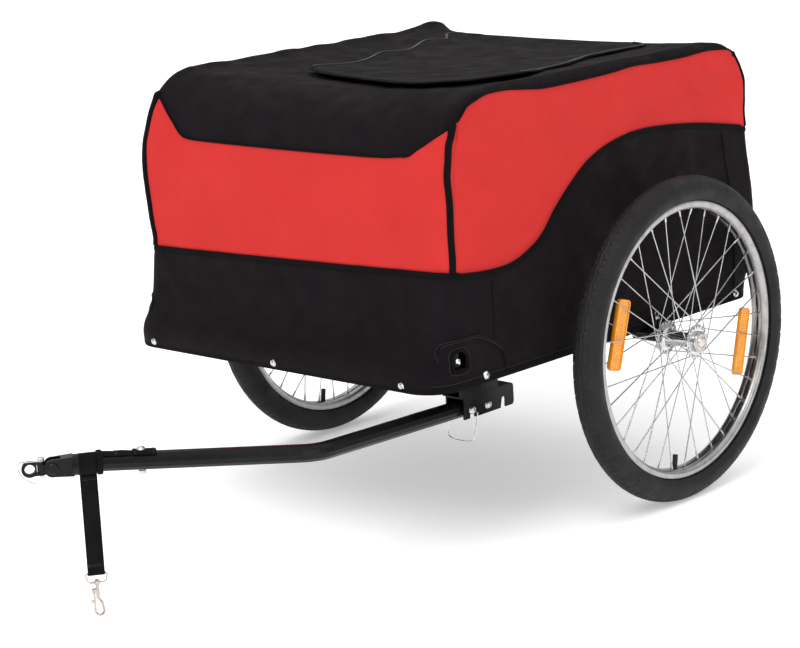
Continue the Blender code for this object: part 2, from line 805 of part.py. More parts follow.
# Wheel parts, turned about the axle: local Z is the axle's outward direction
outer_angle = math.degrees(math.acos((RIM_R + 0.0012 - TYRE_R + TYRE_SECTION_R) / TYRE_SECTION_R))
tyre_centre = TYRE_R - TYRE_SECTION_R
inner_section = TYRE_SECTION_R - TYRE_WALL
bead_out = RIM_HALF_W - RIM_WALL - SEAT_GAP
bead_low = RIM_INNER_R + RIM_WALL + SEAT_GAP
tyre_spots = arc((tyre_centre, 0.0), TYRE_SECTION_R, outer_angle, -outer_angle, 7)
tyre_spots += [(RIM_R + 0.0012, -bead_out), (bead_low, -bead_out), (bead_low, -bead_out + 0.003)]
tyre_spots += arc((tyre_centre, 0.0), inner_section, -146, 146, 6)
tyre_spots += [(bead_low, bead_out - 0.003), (bead_low, bead_out), (RIM_R + 0.0012, bead_out)]
tube_section = inner_section - SEAT_GAP
rim_spots = [
    (RIM_R, RIM_HALF_W),
    (RIM_INNER_R + RIM_EDGE, RIM_HALF_W),
    (RIM_INNER_R, RIM_HALF_W - RIM_EDGE),
    (RIM_INNER_R, -RIM_HALF_W + RIM_EDGE),
    (RIM_INNER_R + RIM_EDGE, -RIM_HALF_W),
    (RIM_R, -RIM_HALF_W),
    (RIM_R, -RIM_HALF_W + RIM_WALL),
    (RIM_INNER_R + RIM_WALL, -RIM_HALF_W + RIM_WALL),
    (RIM_INNER_R + RIM_WALL, RIM_HALF_W - RIM_WALL),
    (RIM_R, RIM_HALF_W - RIM_WALL),
]
hub_bore = AXLE_R + PIN_CLEARANCE
hub_spots = [
    (hub_bore, HUB_HALF_L),
    (HUB_BOSS_R - 0.002, HUB_HALF_L),
    (HUB_BOSS_R, HUB_HALF_L - 0.002),
    (HUB_BOSS_R, FLANGE_X + FLANGE_T / 2.0),
    (FLANGE_R, FLANGE_X + FLANGE_T / 2.0),
    (FLANGE_R, FLANGE_X - FLANGE_T / 2.0),
    (HUB_BARREL_R, FLANGE_X - FLANGE_T / 2.0 - 0.004),
    (HUB_BARREL_R, -FLANGE_X + FLANGE_T / 2.0 + 0.004),
    (FLANGE_R, -FLANGE_X + FLANGE_T / 2.0),
    (FLANGE_R, -FLANGE_X - FLANGE_T / 2.0),
    (HUB_BOSS_R, -FLANGE_X - FLANGE_T / 2.0),
    (HUB_BOSS_R, -HUB_HALF_L + 0.002),
    (HUB_BOSS_R - 0.002, -HUB_HALF_L),
    (hub_bore, -HUB_HALF_L),
]


def spoke_runs():
    # Crossed lacing: each flange hole leads or trails its rim hole
    runs = []
    step = 360.0 / SPOKES_PER_FLANGE
    for flange in (1, -1):
        turn_by = 0.0 if flange == 1 else step / 2.0
        for index in range(SPOKES_PER_FLANGE):
            lead = 1 if index % 2 == 0 else -1
            at_hub = math.radians(index * step + turn_by)
            at_rim = at_hub + lead * math.radians(SPOKE_CROSS_DEG)
            reach = FLANGE_T / 2.0 + SPOKE_R * 0.8
            hub_x = FLANGE_HOLE_R * math.cos(at_hub)
            hub_y = FLANGE_HOLE_R * math.sin(at_hub)
            rim_r = RIM_INNER_R - SEAT_GAP - SPOKE_R * 0.25
            runs.append(
                [
                    (hub_x, hub_y, flange * FLANGE_X),
                    (hub_x, hub_y, flange * FLANGE_X + lead * reach),
                    (rim_r * math.cos(at_rim), rim_r * math.sin(at_rim), lead * 0.0012),
                ]
            )
    return runs


for side, label in ((1, "left"), (-1, "right")):
    centre = (side * WHEEL_X, 0.0, TYRE_R)
    wheel = pivot("wheel_" + label, centre)
    face = ALONG_X if side == 1 else Matrix.Rotation(math.pi, 3, "Z") @ ALONG_X

    name = "wheel_%s_tyre" % label
    turned(
        part(name, profile(name, tyre_spots, True), RUBBER, wheel, centre, face, 0.0),
        WHEEL_SEGMENTS,
    )
    name = "wheel_%s_rim" % label
    rim = turned(
        part(name, profile(name, rim_spots, True), ALUMINIUM, wheel, centre, face, 0.0),
        WHEEL_SEGMENTS,
    )

    # Local X of a wheel points down, local Y along the trailer's Y
    angle = math.radians(VALVE_DEG)
    stem = (-math.sin(angle), math.cos(angle) * side)
    stem_out = Vector((stem[0], stem[1], 0.0))
    tube_spots = arc((tyre_centre, 0.0), tube_section, 146, -146, 6)
    tube_spots += [(bead_low, -bead_out + 0.003 + SEAT_GAP), (bead_low, bead_out - 0.003 - SEAT_GAP)]
    name = "wheel_%s_inner_tube" % label
    inner = turned(
        part(name, profile(name, tube_spots, True), RUBBER, wheel, centre, face, 0.0),
        WHEEL_SEGMENTS,
    )
    stem_l = tyre_centre - VALVE_TIP_R
    stem_mesh = rod("stem_" + label, VALVE_R, stem_l, 8)
    stem_mid = stem_out * (VALVE_TIP_R + stem_l / 2.0)
    stem_turn = face @ stem_out.to_track_quat("Z", "Y").to_matrix()
    stem_at = Vector(centre) + face @ stem_mid
    join(inner, cutter("stem_" + label, stem_mesh, wheel, stem_at, stem_turn))
    stem_hole = rod("stem_hole_" + label, VALVE_R + PIN_CLEARANCE, 0.02, 8)
    hole_at = Vector(centre) + face @ (stem_out * (RIM_INNER_R + RIM_WALL / 2.0))
    cut(rim, cutter("stem_hole_" + label, stem_hole, wheel, hole_at, stem_turn))

    name = "wheel_%s_laced_hub" % label
    hub = turned(
        part(name, profile(name, hub_spots, True), ALUMINIUM, wheel, centre, face, 0.0), 20
    )
    spokes = tube("spokes_" + label, spoke_runs(), SPOKE_R, 0)
    join(hub, cutter("spokes_" + label, spokes, wheel, centre, face))
    spoke_room = tube("spoke_room_" + label, spoke_runs(), SPOKE_R + SEAT_GAP, 0)
    spoke_room = cutter("spoke_room_" + label, spoke_room, wheel, centre, face)

    for degrees, end in zip(REFLECTOR_DEG, ("front", "rear")):
        angle = math.radians(degrees)
        out = Vector((0.0, math.cos(angle), math.sin(angle)))
        name = "wheel_%s_reflector_%s" % (label, end)
        loop = round_box(
            -REFLECTOR_W / 2.0,
            REFLECTOR_W / 2.0,
            -REFLECTOR_L / 2.0,
            REFLECTOR_L / 2.0,
            (0.004, 0.004, 0.004, 0.004),
            (2, 2, 2, 2),
        )
        spin = Matrix.Rotation(angle, 3, "X") @ SIDE_VIEW
        at = Vector(centre) + out * REFLECTOR_AT_R
        reflector = part(name, slab(name, [loop], REFLECTOR_T), AMBER, wheel, at, spin, 0.0)
        cut(reflector, spoke_room)

# Tow bar receiver: an inverted channel with rounded rear corners and open slots
receiver_mid_y = (RECEIVER_MOUTH_Y + RECEIVER_REAR_Y) / 2.0
receiver_l = RECEIVER_REAR_Y - RECEIVER_MOUTH_Y
channel_in = RECEIVER_HALF_W - RECEIVER_WALL
channel_loop = [
    (-RECEIVER_HALF_W, RECEIVER_BOTTOM_Z),
    (-RECEIVER_HALF_W, RECEIVER_TOP_Z),
    (RECEIVER_HALF_W, RECEIVER_TOP_Z),
    (RECEIVER_HALF_W, RECEIVER_BOTTOM_Z),
    (channel_in, RECEIVER_BOTTOM_Z),
    (channel_in, RECEIVER_TOP_Z - RECEIVER_WALL),
    (-channel_in, RECEIVER_TOP_Z - RECEIVER_WALL),
    (-channel_in, RECEIVER_BOTTOM_Z),
]
receiver = part(
    "tow_bar_receiver",
    slab("tow_bar_receiver", [channel_loop], receiver_l),
    BLACK_PAINT,
    root,
    (RECEIVER_X, receiver_mid_y, 0.0),
    FRONT_VIEW,
    0.0,
)
profile_loop = round_box(
    RECEIVER_MOUTH_Y - 0.001,
    RECEIVER_REAR_Y,
    RECEIVER_BOTTOM_Z - 0.001,
    RECEIVER_TOP_Z + 0.001,
    (RECEIVER_CORNER_R, RECEIVER_CORNER_R, 0.001, 0.001),
    (4, 4, 1, 1),
)
receiver_side = slab("receiver_side", [profile_loop], 3.0 * RECEIVER_HALF_W)
receiver_side = cutter("receiver_side", receiver_side, root, (RECEIVER_X, 0, 0), SIDE_VIEW)
combine(receiver, receiver_side, "INTERSECT")

# The pin leaves its slots on an arc about the pivot, so each slot flares towards it
slot_half = LOCK_PIN_R + PIN_CLEARANCE
slot_drop = PIVOT_Z - RECEIVER_BOTTOM_Z + 0.002
flare = LOCK_REACH - math.sqrt(LOCK_REACH**2 - slot_drop**2)
for reach, label in ((-1, "front"), (1, "rear")):
    loop = arc((0.0, 0.0), slot_half, 0, 180, 6)
    loop += [
        (-slot_half - (flare if reach > 0 else 0.0), -slot_drop),
        (slot_half + (flare if reach < 0 else 0.0), -slot_drop),
    ]
    slot = slab("pin_slot_" + label, [loop], 3.0 * RECEIVER_HALF_W)
    slot_at = (RECEIVER_X, PIVOT_Y + reach * LOCK_REACH, PIVOT_Z)
    cut(receiver, cutter("pin_slot_" + label, slot, root, slot_at, SIDE_VIEW))
bolt_hole = rod("pivot_hole", PIVOT_R + PIN_CLEARANCE, 4.0 * RECEIVER_HALF_W, 10)
pivot_at = (RECEIVER_X, PIVOT_Y, PIVOT_Z)
pivot_hole = cutter("pivot_hole", bolt_hole, root, pivot_at, ALONG_X)
cut(receiver, pivot_hole)

# Saddle between the receiver's roof and the bed frame
saddle_low = RECEIVER_TOP_Z + SEAT_GAP
saddle_high = BED_Z + FRAME_R - CROSS_R - SEAT_GAP
saddle_in = RECEIVER_HALF_W - SADDLE_WALL
saddle_loop = [
    (-RECEIVER_HALF_W, saddle_low),
    (-RECEIVER_HALF_W, saddle_high),
    (RECEIVER_HALF_W, saddle_high),
    (RECEIVER_HALF_W, saddle_low),
    (saddle_in, saddle_low),
    (saddle_in, saddle_high - SADDLE_WALL),
    (-saddle_in, saddle_high - SADDLE_WALL),
    (-saddle_in, saddle_low),
]
part(
    "receiver_saddle",
    slab("receiver_saddle", [saddle_loop], SADDLE_REAR_Y - SADDLE_FRONT_Y),
    BLACK_PAINT,
    root,
    (RECEIVER_X, (SADDLE_FRONT_Y + SADDLE_REAR_Y) / 2.0, 0.0),
    FRONT_VIEW,
    0.0,
)


def hex_nut(name, across, thick, bore, holder, at, direction):
    ring = [
        (across * math.cos(math.radians(60 * k + 30)), across * math.sin(math.radians(60 * k + 30)))
        for k in range(6)
    ]
    hole = arc((0.0, 0.0), bore, 0, 324, 9)
    return part(name, slab(name, [ring, hole], thick), ZINC, holder, at, facing(direction), 0.0)


near_x = RECEIVER_X + RECEIVER_HALF_W + SEAT_GAP
far_x = RECEIVER_X - RECEIVER_HALF_W - SEAT_GAP
bolt_l = near_x - far_x + 0.007
bolt_mesh = headed("pivot_bolt", BOLT_HEAD_R, BOLT_HEAD_T, PIVOT_R, bolt_l)
bolt = part("pivot_bolt", bolt_mesh, ZINC, root, (near_x, PIVOT_Y, PIVOT_Z), ALONG_X, 0.0)
turned(bolt, 12)
nut_at = (far_x - 0.0022, PIVOT_Y, PIVOT_Z)
hex_nut("pivot_nut", 0.0062, 0.0044, PIVOT_R + PIN_CLEARANCE, root, nut_at, (1, 0, 0))

# Tow bar: rounded tail in the receiver, one bend, level end
fold = pivot("tow_bar_fold", pivot_at)
level_start = hitch_spot(-BAR_LEVEL_L)
bend_run = bent(
    [
        Vector(pivot_at),
        Vector((RECEIVER_X, BAR_BEND_Y, BAR_BEND_Z)),
        level_start,
        hitch_spot(CAP_BACK),
    ],
    BAR_BEND_R,
    6,
)
first_run = (bend_run[1] - bend_run[0]).normalized()
tail = [Vector(pivot_at) - first_run * step for step in (0.0122, 0.0085)]
bar_run = tail + bend_run
bar_widths = [0.42, 0.80] + [1.0] * len(bend_run)
tow_bar = part(
    "tow_bar", tube("tow_bar", [bar_run], BAR_R, 4, widths=bar_widths), BLACK_PAINT, fold
)
cut(tow_bar, cutter("bar_pivot_hole", bolt_hole, fold, pivot_at, ALONG_X))
pin_at = (RECEIVER_X, PIVOT_Y - LOCK_REACH, PIVOT_Z)
pin_hole = rod("bar_pin_hole", LOCK_PIN_R + PIN_CLEARANCE, 4.0 * RECEIVER_HALF_W, 12)
cut(tow_bar, cutter("bar_pin_hole", pin_hole, fold, pin_at, ALONG_X))
bore_mesh = rod("bar_end_bore", BAR_BORE_R, 2.0 * BAR_BORE_L, 16)
bore_turn = facing(AHEAD)
cut(tow_bar, cutter("bar_end_bore", bore_mesh, fold, hitch_spot(CAP_BACK), bore_turn))

# Lock pin and its wire ring, which hangs a little forward of straight down
pin_slide = pivot("lock_pin_slide", (near_x, pin_at[1], PIVOT_Z), fold)
pin_l = near_x - far_x + 0.005
pin_mesh = headed("lock_pin", BOLT_HEAD_R, BOLT_HEAD_T, LOCK_PIN_R, pin_l)
lock_pin = part("lock_pin", pin_mesh, ZINC, pin_slide, (near_x, pin_at[1], PIVOT_Z), ALONG_X, 0.0)
turned(lock_pin, 12)
bail_x = near_x + BOLT_HEAD_T + SEAT_GAP
BAIL_LEAN = math.radians(10)
bail_drops = (
    (0.0, 0.0),
    (0.0034, 0.0),
    (0.0054, 0.0030),
    (0.0054, 0.0200),
    (0.0044, 0.0380),
    (0.0012, 0.0438),
    (-0.0040, 0.0460),
    (-0.0120, 0.0472),
    (-0.0320, 0.0472),
    (-0.0400, 0.0460),
    (-0.0460, 0.0432),
    (-0.0480, 0.0370),
    (-0.0475, 0.0270),
)
bail_run = [
    (bail_x + across, pin_at[1] - down * math.sin(BAIL_LEAN), PIVOT_Z - down * math.cos(BAIL_LEAN))
    for across, down in bail_drops
]
bail_swing = pivot("lock_pin_ring_swing", (bail_x, pin_at[1], PIVOT_Z), pin_slide)
part("lock_pin_ring", tube("lock_pin_ring", [bail_run], WIRE_R, 1), CHROME, bail_swing)

# Yoke: plug and cap in the bar's end, and a fork for the cross bolt
yoke = part(
    "hitch_yoke",
    rod("hitch_yoke", CAP_R, CAP_L, 20),
    BLACK_PAINT,
    fold,
    hitch_spot(CAP_BACK + SEAT_GAP + CAP_L / 2.0),
    bore_turn,
)
plug_l = BAR_BORE_L - 0.002
plug = rod("yoke_plug", BAR_BORE_R - PIN_CLEARANCE, plug_l, 16)
plug_at = hitch_spot(CAP_BACK + SEAT_GAP + 0.001 - plug_l / 2.0)
join(yoke, cutter("yoke_plug", plug, fold, plug_at, bore_turn))
fork_back = CAP_BACK + CAP_L - 0.001
fork_loop = [(fork_back, -CAP_R * 0.92)]
fork_loop += arc((CROSS_BOLT_S, 0.0), CHEEK_R, -100, 100, 10)
fork_loop += [(fork_back, CAP_R * 0.92)]
fork = slab("yoke_fork", [fork_loop], 2.0 * YOKE_HALF_W)
join(yoke, cutter("yoke_fork", fork, fold, BAR_END, HITCH_SIDE))
slot_from = CROSS_BOLT_S - KNUCKLE_R - 0.0015
slot_l = 0.05
slot_size = (slot_l, 2.0 * YOKE_SLOT_HALF, 4.0 * CHEEK_R)
fork_slot = cutter(
    "fork_slot", block("fork_slot", slot_size), fold, hitch_spot(slot_from + slot_l / 2.0), HITCH_TURN
)
cut(yoke, fork_slot)
rivet_hole = rod("rivet_hole", RIVET_R + PIN_CLEARANCE, 0.06, 10)
across_hitch = facing(BESIDE)
cut(yoke, cutter("rivet_hole", rivet_hole, fold, hitch_spot(CROSS_BOLT_S), across_hitch))

rivet_half = YOKE_HALF_W + SEAT_GAP
rivet_spots = [
    (0.0, rivet_half + 0.0026),
    (RIVET_HEAD_R * 0.8, rivet_half + 0.0026),
    (RIVET_HEAD_R, rivet_half + 0.0012),
    (RIVET_HEAD_R, rivet_half),
    (RIVET_R, rivet_half),
    (RIVET_R, -rivet_half),
    (RIVET_HEAD_R * 0.7, -rivet_half),
    (RIVET_HEAD_R * 0.6, -rivet_half - 0.0020),
    (0.0, -rivet_half - 0.0020),
]
rivet = part(
    "hitch_cross_bolt",
    profile("hitch_cross_bolt", rivet_spots),
    BLACK_PAINT,
    fold,
    hitch_spot(CROSS_BOLT_S),
    across_hitch,
    0.0,
)
turned(rivet, 16)

# Knuckle: disc on the cross bolt with a nose that carries the upright pin
pitch = pivot("hitch_pitch", hitch_spot(CROSS_BOLT_S), fold)
knuckle_half = YOKE_SLOT_HALF - CHEEK_CLEARANCE
knuckle = part(
    "hitch_knuckle",
    rod("hitch_knuckle", KNUCKLE_R, 2.0 * knuckle_half, 18),
    BLACK_PAINT,
    pitch,
    hitch_spot(CROSS_BOLT_S),
    across_hitch,
)
nose_loop = arc((HITCH_PIN_S, 0.0), NOSE_R, -90, 90, 6)
nose_loop += [(CROSS_BOLT_S, NOSE_R), (CROSS_BOLT_S, -NOSE_R)]
nose = slab("knuckle_nose", [nose_loop], 2.0 * NOSE_HALF_H)
join(knuckle, cutter("knuckle_nose", nose, pitch, BAR_END, HITCH_TURN))
knuckle_cross = rod("knuckle_cross", RIVET_R + PIN_CLEARANCE, 0.06, 10)
cut(knuckle, cutter("knuckle_cross", knuckle_cross, pitch, hitch_spot(CROSS_BOLT_S), across_hitch))
upright_hole = rod("upright_hole", HITCH_PIN_R + PIN_CLEARANCE, 0.06, 10)
cut(knuckle, cutter("knuckle_upright", upright_hole, pitch, hitch_spot(HITCH_PIN_S)))

# Axle plate: eye for the bicycle's axle and two ears round the knuckle's nose
yaw = pivot("hitch_yaw", hitch_spot(HITCH_PIN_S), pitch)
ear_low = NOSE_HALF_H + SEAT_GAP
ear_high = ear_low + EAR_T
web_from = HITCH_PIN_S + NOSE_R + 0.0006
eye_loop = [(web_from, -ear_high)]
eye_loop += arc((EYE_S, 0.0), EYE_R, -115, 115, 12)
eye_loop += [(web_from, ear_high)]
eye_hole = arc((EYE_S, 0.0), EYE_HOLE_R, 0, 337.5, 15)
plate = part(
    "hitch_axle_plate",
    slab("hitch_axle_plate", [eye_loop, eye_hole], 2.0 * PLATE_HALF_T),
    BLACK_PAINT,
    yaw,
    BAR_END,
    HITCH_SIDE,
)
ear_loop = arc((HITCH_PIN_S, 0.0), NOSE_R, 90, 270, 6)
ear_loop += [(web_from + 0.003, -NOSE_R * 0.8), (web_from + 0.003, NOSE_R * 0.8)]
for lift, label in ((1, "top"), (-1, "bottom")):
    ear = slab("ear_" + label, [ear_loop], EAR_T)
    ear_at = hitch_spot(0.0, 0.0, lift * (ear_low + EAR_T / 2.0))
    join(plate, cutter("ear_" + label, ear, yaw, ear_at, HITCH_TURN))
cut(plate, cutter("plate_upright", upright_hole, yaw, hitch_spot(HITCH_PIN_S)))

pin_seat = ear_high + SEAT_GAP
hitch_pin_head_r = 0.0045
hitch_pin_head_h = 0.0050
lift_pin = pivot("hitch_pin_slide", hitch_spot(HITCH_PIN_S, 0.0, pin_seat), yaw)
hitch_pin_spots = [
    (0.0, hitch_pin_head_h),
    (hitch_pin_head_r * 0.8, hitch_pin_head_h),
    (hitch_pin_head_r, hitch_pin_head_h * 0.8),
    (hitch_pin_head_r, 0.0),
    (HITCH_PIN_R, 0.0),
    (HITCH_PIN_R, -pin_seat - ear_high - 0.0040),
    (0.0, -pin_seat - ear_high - 0.0055),
]
hitch_pin = part(
    "hitch_pin",
    profile("hitch_pin", hitch_pin_spots),
    ZINC,
    lift_pin,
    hitch_spot(HITCH_PIN_S, 0.0, pin_seat),
    smooth=0.0,
)
turned(hitch_pin, 12)
ring_up = pin_seat + hitch_pin_head_h * 0.55
ring_side = hitch_pin_head_r + SEAT_GAP
ring_plan = [(0.0, ring_side, 0.0), (0.0, HITCH_BAIL_SIDE - 0.0016, 0.0)]
ring_plan += [(0.0016, HITCH_BAIL_SIDE, 0.0), (HITCH_BAIL_R - 0.0045, HITCH_BAIL_SIDE, 0.0)]
ring_plan += [
    (ahead, HITCH_BAIL_SIDE, up)
    for ahead, up in arc((0.0, 0.0), HITCH_BAIL_R, -8, -76, 8)
]
ring_plan += [(0.0020, HITCH_BAIL_SIDE, -HITCH_BAIL_R + 0.0030)]
ring_run = [
    hitch_spot(HITCH_PIN_S + ahead, beside, ring_up + up) for ahead, beside, up in ring_plan
]
ring_swing = pivot("hitch_pin_ring_swing", hitch_spot(HITCH_PIN_S, 0.0, ring_up), lift_pin)
part("hitch_pin_ring", tube("hitch_pin_ring", [ring_run], WIRE_R, 1), CHROME, ring_swing)

# Strap anchor: webbing laid along the bar's top and bolted through it
anchor_low = BAR_R + SEAT_GAP
bend_s = -BAR_LEVEL_L


def bar_rise(s):
    return 0.0 if s > bend_s else (s - bend_s) * BAR_SLOPE


anchor_loop = [(s, anchor_low + bar_rise(s)) for s in (ANCHOR_TO_S, bend_s, ANCHOR_FROM_S)]
anchor_loop += [
    (s, anchor_low + STRAP_T + bar_rise(s)) for s in (ANCHOR_FROM_S, bend_s, ANCHOR_TO_S)
]
anchor = part(
    "strap_anchor",
    slab("strap_anchor", [anchor_loop], ANCHOR_W),
    BLACK_CLOTH,
    fold,
    BAR_END,
    HITCH_SIDE,
)
strap_bolt_r = 0.0025
bolt_hole_mesh = rod("strap_bolt_hole", strap_bolt_r + PIN_CLEARANCE, 0.08, 8)
bolt_spot = hitch_spot(ANCHOR_BOLT_S, 0.0, bar_rise(ANCHOR_BOLT_S))
strap_hole = cutter("strap_bolt_hole", bolt_hole_mesh, fold, bolt_spot)
cut(anchor, strap_hole)
cut(tow_bar, strap_hole)
tilt_room = BOLT_HEAD_R * BAR_SLOPE + SEAT_GAP
head_up = anchor_low + STRAP_T + tilt_room
bolt_low = BAR_R + tilt_room + 0.005
strap_bolt_mesh = headed("strap_bolt", BOLT_HEAD_R, 0.0038, strap_bolt_r, head_up + bolt_low)
head_at = bolt_spot + Vector((0.0, 0.0, head_up))
turned(part("strap_bolt", strap_bolt_mesh, ZINC, fold, head_at, smooth=0.0), 12)
nut_at = bolt_spot - Vector((0.0, 0.0, BAR_R + tilt_room + 0.002))
hex_nut("strap_nut", 0.0060, 0.0040, strap_bolt_r + PIN_CLEARANCE, fold, nut_at, (0, 0, 1))

# Safety strap: a loop round the bar, a hanging length and a folded eye
strap_swing = pivot("strap_swing", hitch_spot(STRAP_S), fold)
loop_in = BAR_R + SEAT_GAP
loop_out = loop_in + STRAP_T
drop = BAR_END_Z - STRAP_LOOP_Z
eye_in = RING_WIRE_R + SEAT_GAP
eye_out = eye_in + STRAP_T * 0.8
half_web = STRAP_T * 0.75
web_open = math.degrees(math.asin(half_web / loop_out))
eye_open = math.degrees(math.asin(min(1.0, half_web / eye_out)))
strap_loop = arc((0.0, 0.0), loop_out, -90 + web_open, 270 - web_open, 20)
strap_loop += arc((0.0, -drop), eye_out, 90 + eye_open, 450 - eye_open, 10)
bar_hole = arc((0.0, 0.0), loop_in, 0, 342, 19)
eye_hole_loop = arc((0.0, -drop), eye_in, 0, 315, 7)
strap_turn = facing(AHEAD)
cross_turn = Matrix((BESIDE, Vector((0, 0, 1)), AHEAD)).transposed()
if cross_turn.determinant() < 0:
    cross_turn = Matrix((-BESIDE, Vector((0, 0, 1)), AHEAD)).transposed()
safety_strap = part(
    "safety_strap",
    slab("safety_strap", [strap_loop, bar_hole, eye_hole_loop], STRAP_W),
    BLACK_CLOTH,
    strap_swing,
    hitch_spot(STRAP_S),
    cross_turn,
)

# Wire ring in the strap's eye, with a boss for the hook's swivel
eye_at = hitch_spot(STRAP_S, 0.0, -drop)
ring_swing_pivot = pivot("strap_ring_swing", eye_at, strap_swing)
corner = RING_HALF_W - STRAP_W / 2.0 - 0.0006
ring_corners = [
    (-RING_HALF_W + corner, 0.0),
    (RING_HALF_W - corner, 0.0),
    (RING_HALF_W, -corner),
    (RING_HALF_W * 0.86, -RING_DROP + corner),
    (RING_HALF_W * 0.62, -RING_DROP),
    (-RING_HALF_W * 0.62, -RING_DROP),
    (-RING_HALF_W * 0.86, -RING_DROP + corner),
    (-RING_HALF_W, -corner),
]
ring_points = [eye_at + AHEAD * ahead + Vector((0, 0, up)) for ahead, up in ring_corners]
strap_ring = part(
    "strap_ring",
    tube("strap_ring", [ring_points], RING_WIRE_R, 1, closed=True),
    ZINC,
    ring_swing_pivot,
)
boss_h = 0.0050
boss_at = eye_at - Vector((0, 0, RING_DROP))
boss = cutter("ring_boss", rod("ring_boss", RING_BOSS_R, boss_h, 12), ring_swing_pivot, boss_at)
join(strap_ring, boss)
swivel_hole = rod("swivel_hole", HOOK_SHANK_R + PIN_CLEARANCE, 0.02, 10)
cut(strap_ring, cutter("swivel_hole", swivel_hole, ring_swing_pivot, boss_at))

# Snap hook: swivel head, shank and open hook, with a sliding thumb bolt
swivel = pivot("hook_swivel", boss_at, ring_swing_pivot)
head_low = boss_h / 2.0 + SEAT_GAP
shoulder = -boss_h / 2.0 - SEAT_GAP
hook_top = boss_at.z + shoulder
body_l = 0.0205
body_r = 0.0026
hook_spots = [
    (0.0, head_low + 0.0022),
    (0.0022, head_low + 0.0018),
    (0.0028, head_low),
    (HOOK_SHANK_R, head_low),
    (HOOK_SHANK_R, shoulder),
    (body_r, shoulder),
    (body_r, shoulder - body_l),
    (0.0, shoulder - body_l - 0.001),
]
snap_hook = part(
    "snap_hook", profile("snap_hook", hook_spots), ZINC, swivel, boss_at, smooth=0.0
)
turned(snap_hook, 12)
hook_turn_r = 0.0060
hook_arc_z = HOOK_BOTTOM_Z + HOOK_WIRE_R + hook_turn_r
hook_low = hook_top - body_l
tip_z = hook_arc_z + 0.0045
hook_plan = [(0.0, hook_low + 0.003), (-0.0012, hook_low - 0.0005), (-0.0050, hook_low - 0.0065)]
hook_plan += arc((-0.0010, hook_arc_z), hook_turn_r, 150, 360, 9)
hook_plan += [(hook_turn_r - 0.0010, tip_z)]


def hook_spot(ahead, z):
    return Vector((boss_at.x, boss_at.y, 0.0)) + AHEAD * ahead + Vector((0.0, 0.0, z))


hook_run = [hook_spot(ahead, z) for ahead, z in hook_plan]
hook_wire = tube("hook_wire", [hook_run], HOOK_WIRE_R, 2)
join(snap_hook, cutter("hook_wire", hook_wire, swivel))

# Thumb bolt: a rod in a guide beside the shank, closing the hook's mouth
thumb_ahead = hook_turn_r - 0.0010
thumb_r = 0.0013
knob_z = tip_z + 0.0095
guide_low = knob_z + 0.0024 + THUMB_TRAVEL
guide_high = guide_low + 0.0070
guide_w = thumb_ahead + thumb_r + 0.0014
guide = block("thumb_guide", (guide_w, 2.0 * body_r, guide_high - guide_low))
guide_at = hook_spot(guide_w / 2.0, (guide_low + guide_high) / 2.0)
join(snap_hook, cutter("thumb_guide", guide, swivel, guide_at, HITCH_TURN))
guide_bore = rod("guide_bore", thumb_r + PIN_CLEARANCE, 0.03, 8)
guide_bore_at = hook_spot(thumb_ahead, guide_low)
cut(snap_hook, cutter("guide_bore", guide_bore, swivel, guide_bore_at))
thumb_low = tip_z + SEAT_GAP
thumb_high = guide_high - 0.0030
thumb_slide = pivot("hook_thumb_slide", hook_spot(thumb_ahead, knob_z), swivel)
thumb = part(
    "snap_hook_thumb",
    rod("snap_hook_thumb", thumb_r, thumb_high - thumb_low, 8),
    ZINC,
    thumb_slide,
    hook_spot(thumb_ahead, (thumb_low + thumb_high) / 2.0),
)
knob = rod("thumb_knob", 0.0021, 0.0064, 10)
join(thumb, cutter("thumb_knob", knob, thumb_slide, hook_spot(thumb_ahead + 0.0018, knob_z), bore_turn))
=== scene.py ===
# Looks of the bicycle cargo trailer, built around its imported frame

import math

import bmesh
import bpy
import numpy as np
from mathutils import Matrix, Vector, noise


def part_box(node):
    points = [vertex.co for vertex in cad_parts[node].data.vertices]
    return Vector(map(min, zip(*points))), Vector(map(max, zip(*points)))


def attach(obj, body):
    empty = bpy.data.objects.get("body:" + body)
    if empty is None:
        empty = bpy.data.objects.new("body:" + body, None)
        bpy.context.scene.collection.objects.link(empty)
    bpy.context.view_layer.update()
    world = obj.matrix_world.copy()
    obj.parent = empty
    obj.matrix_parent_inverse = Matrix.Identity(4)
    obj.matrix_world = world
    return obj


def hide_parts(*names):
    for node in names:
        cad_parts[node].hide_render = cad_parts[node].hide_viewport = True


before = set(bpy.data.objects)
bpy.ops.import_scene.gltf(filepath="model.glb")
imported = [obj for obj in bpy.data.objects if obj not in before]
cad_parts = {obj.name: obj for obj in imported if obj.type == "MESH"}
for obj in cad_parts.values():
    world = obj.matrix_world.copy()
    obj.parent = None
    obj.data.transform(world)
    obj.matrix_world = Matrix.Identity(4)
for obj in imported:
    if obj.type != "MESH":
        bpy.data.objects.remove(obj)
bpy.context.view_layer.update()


def middle(node):
    low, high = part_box(node)
    return (low + high) / 2.0


# Sizes are given with Y counted from the wheels' axle line, X and Z as in the frame
AXLE_Y = middle("wheel_left_tyre").y
AXLE_Z = middle("wheel_left_tyre").z
WHEEL_X = middle("wheel_left_tyre").x
AXLE = Vector((0.0, AXLE_Y, 0.0))


def smooth_step(value):
    value = np.clip(value, 0.0, 1.0)
    return value * value * (3.0 - 2.0 * value)


def unit(vectors):
    size = np.linalg.norm(vectors, axis=-1, keepdims=True)
    return vectors / np.maximum(size, 1e-12)


def linked(name, data):
    """A new object of the scene."""
    made = bpy.data.objects.new(name, data)
    bpy.context.scene.collection.objects.link(made)
    return made


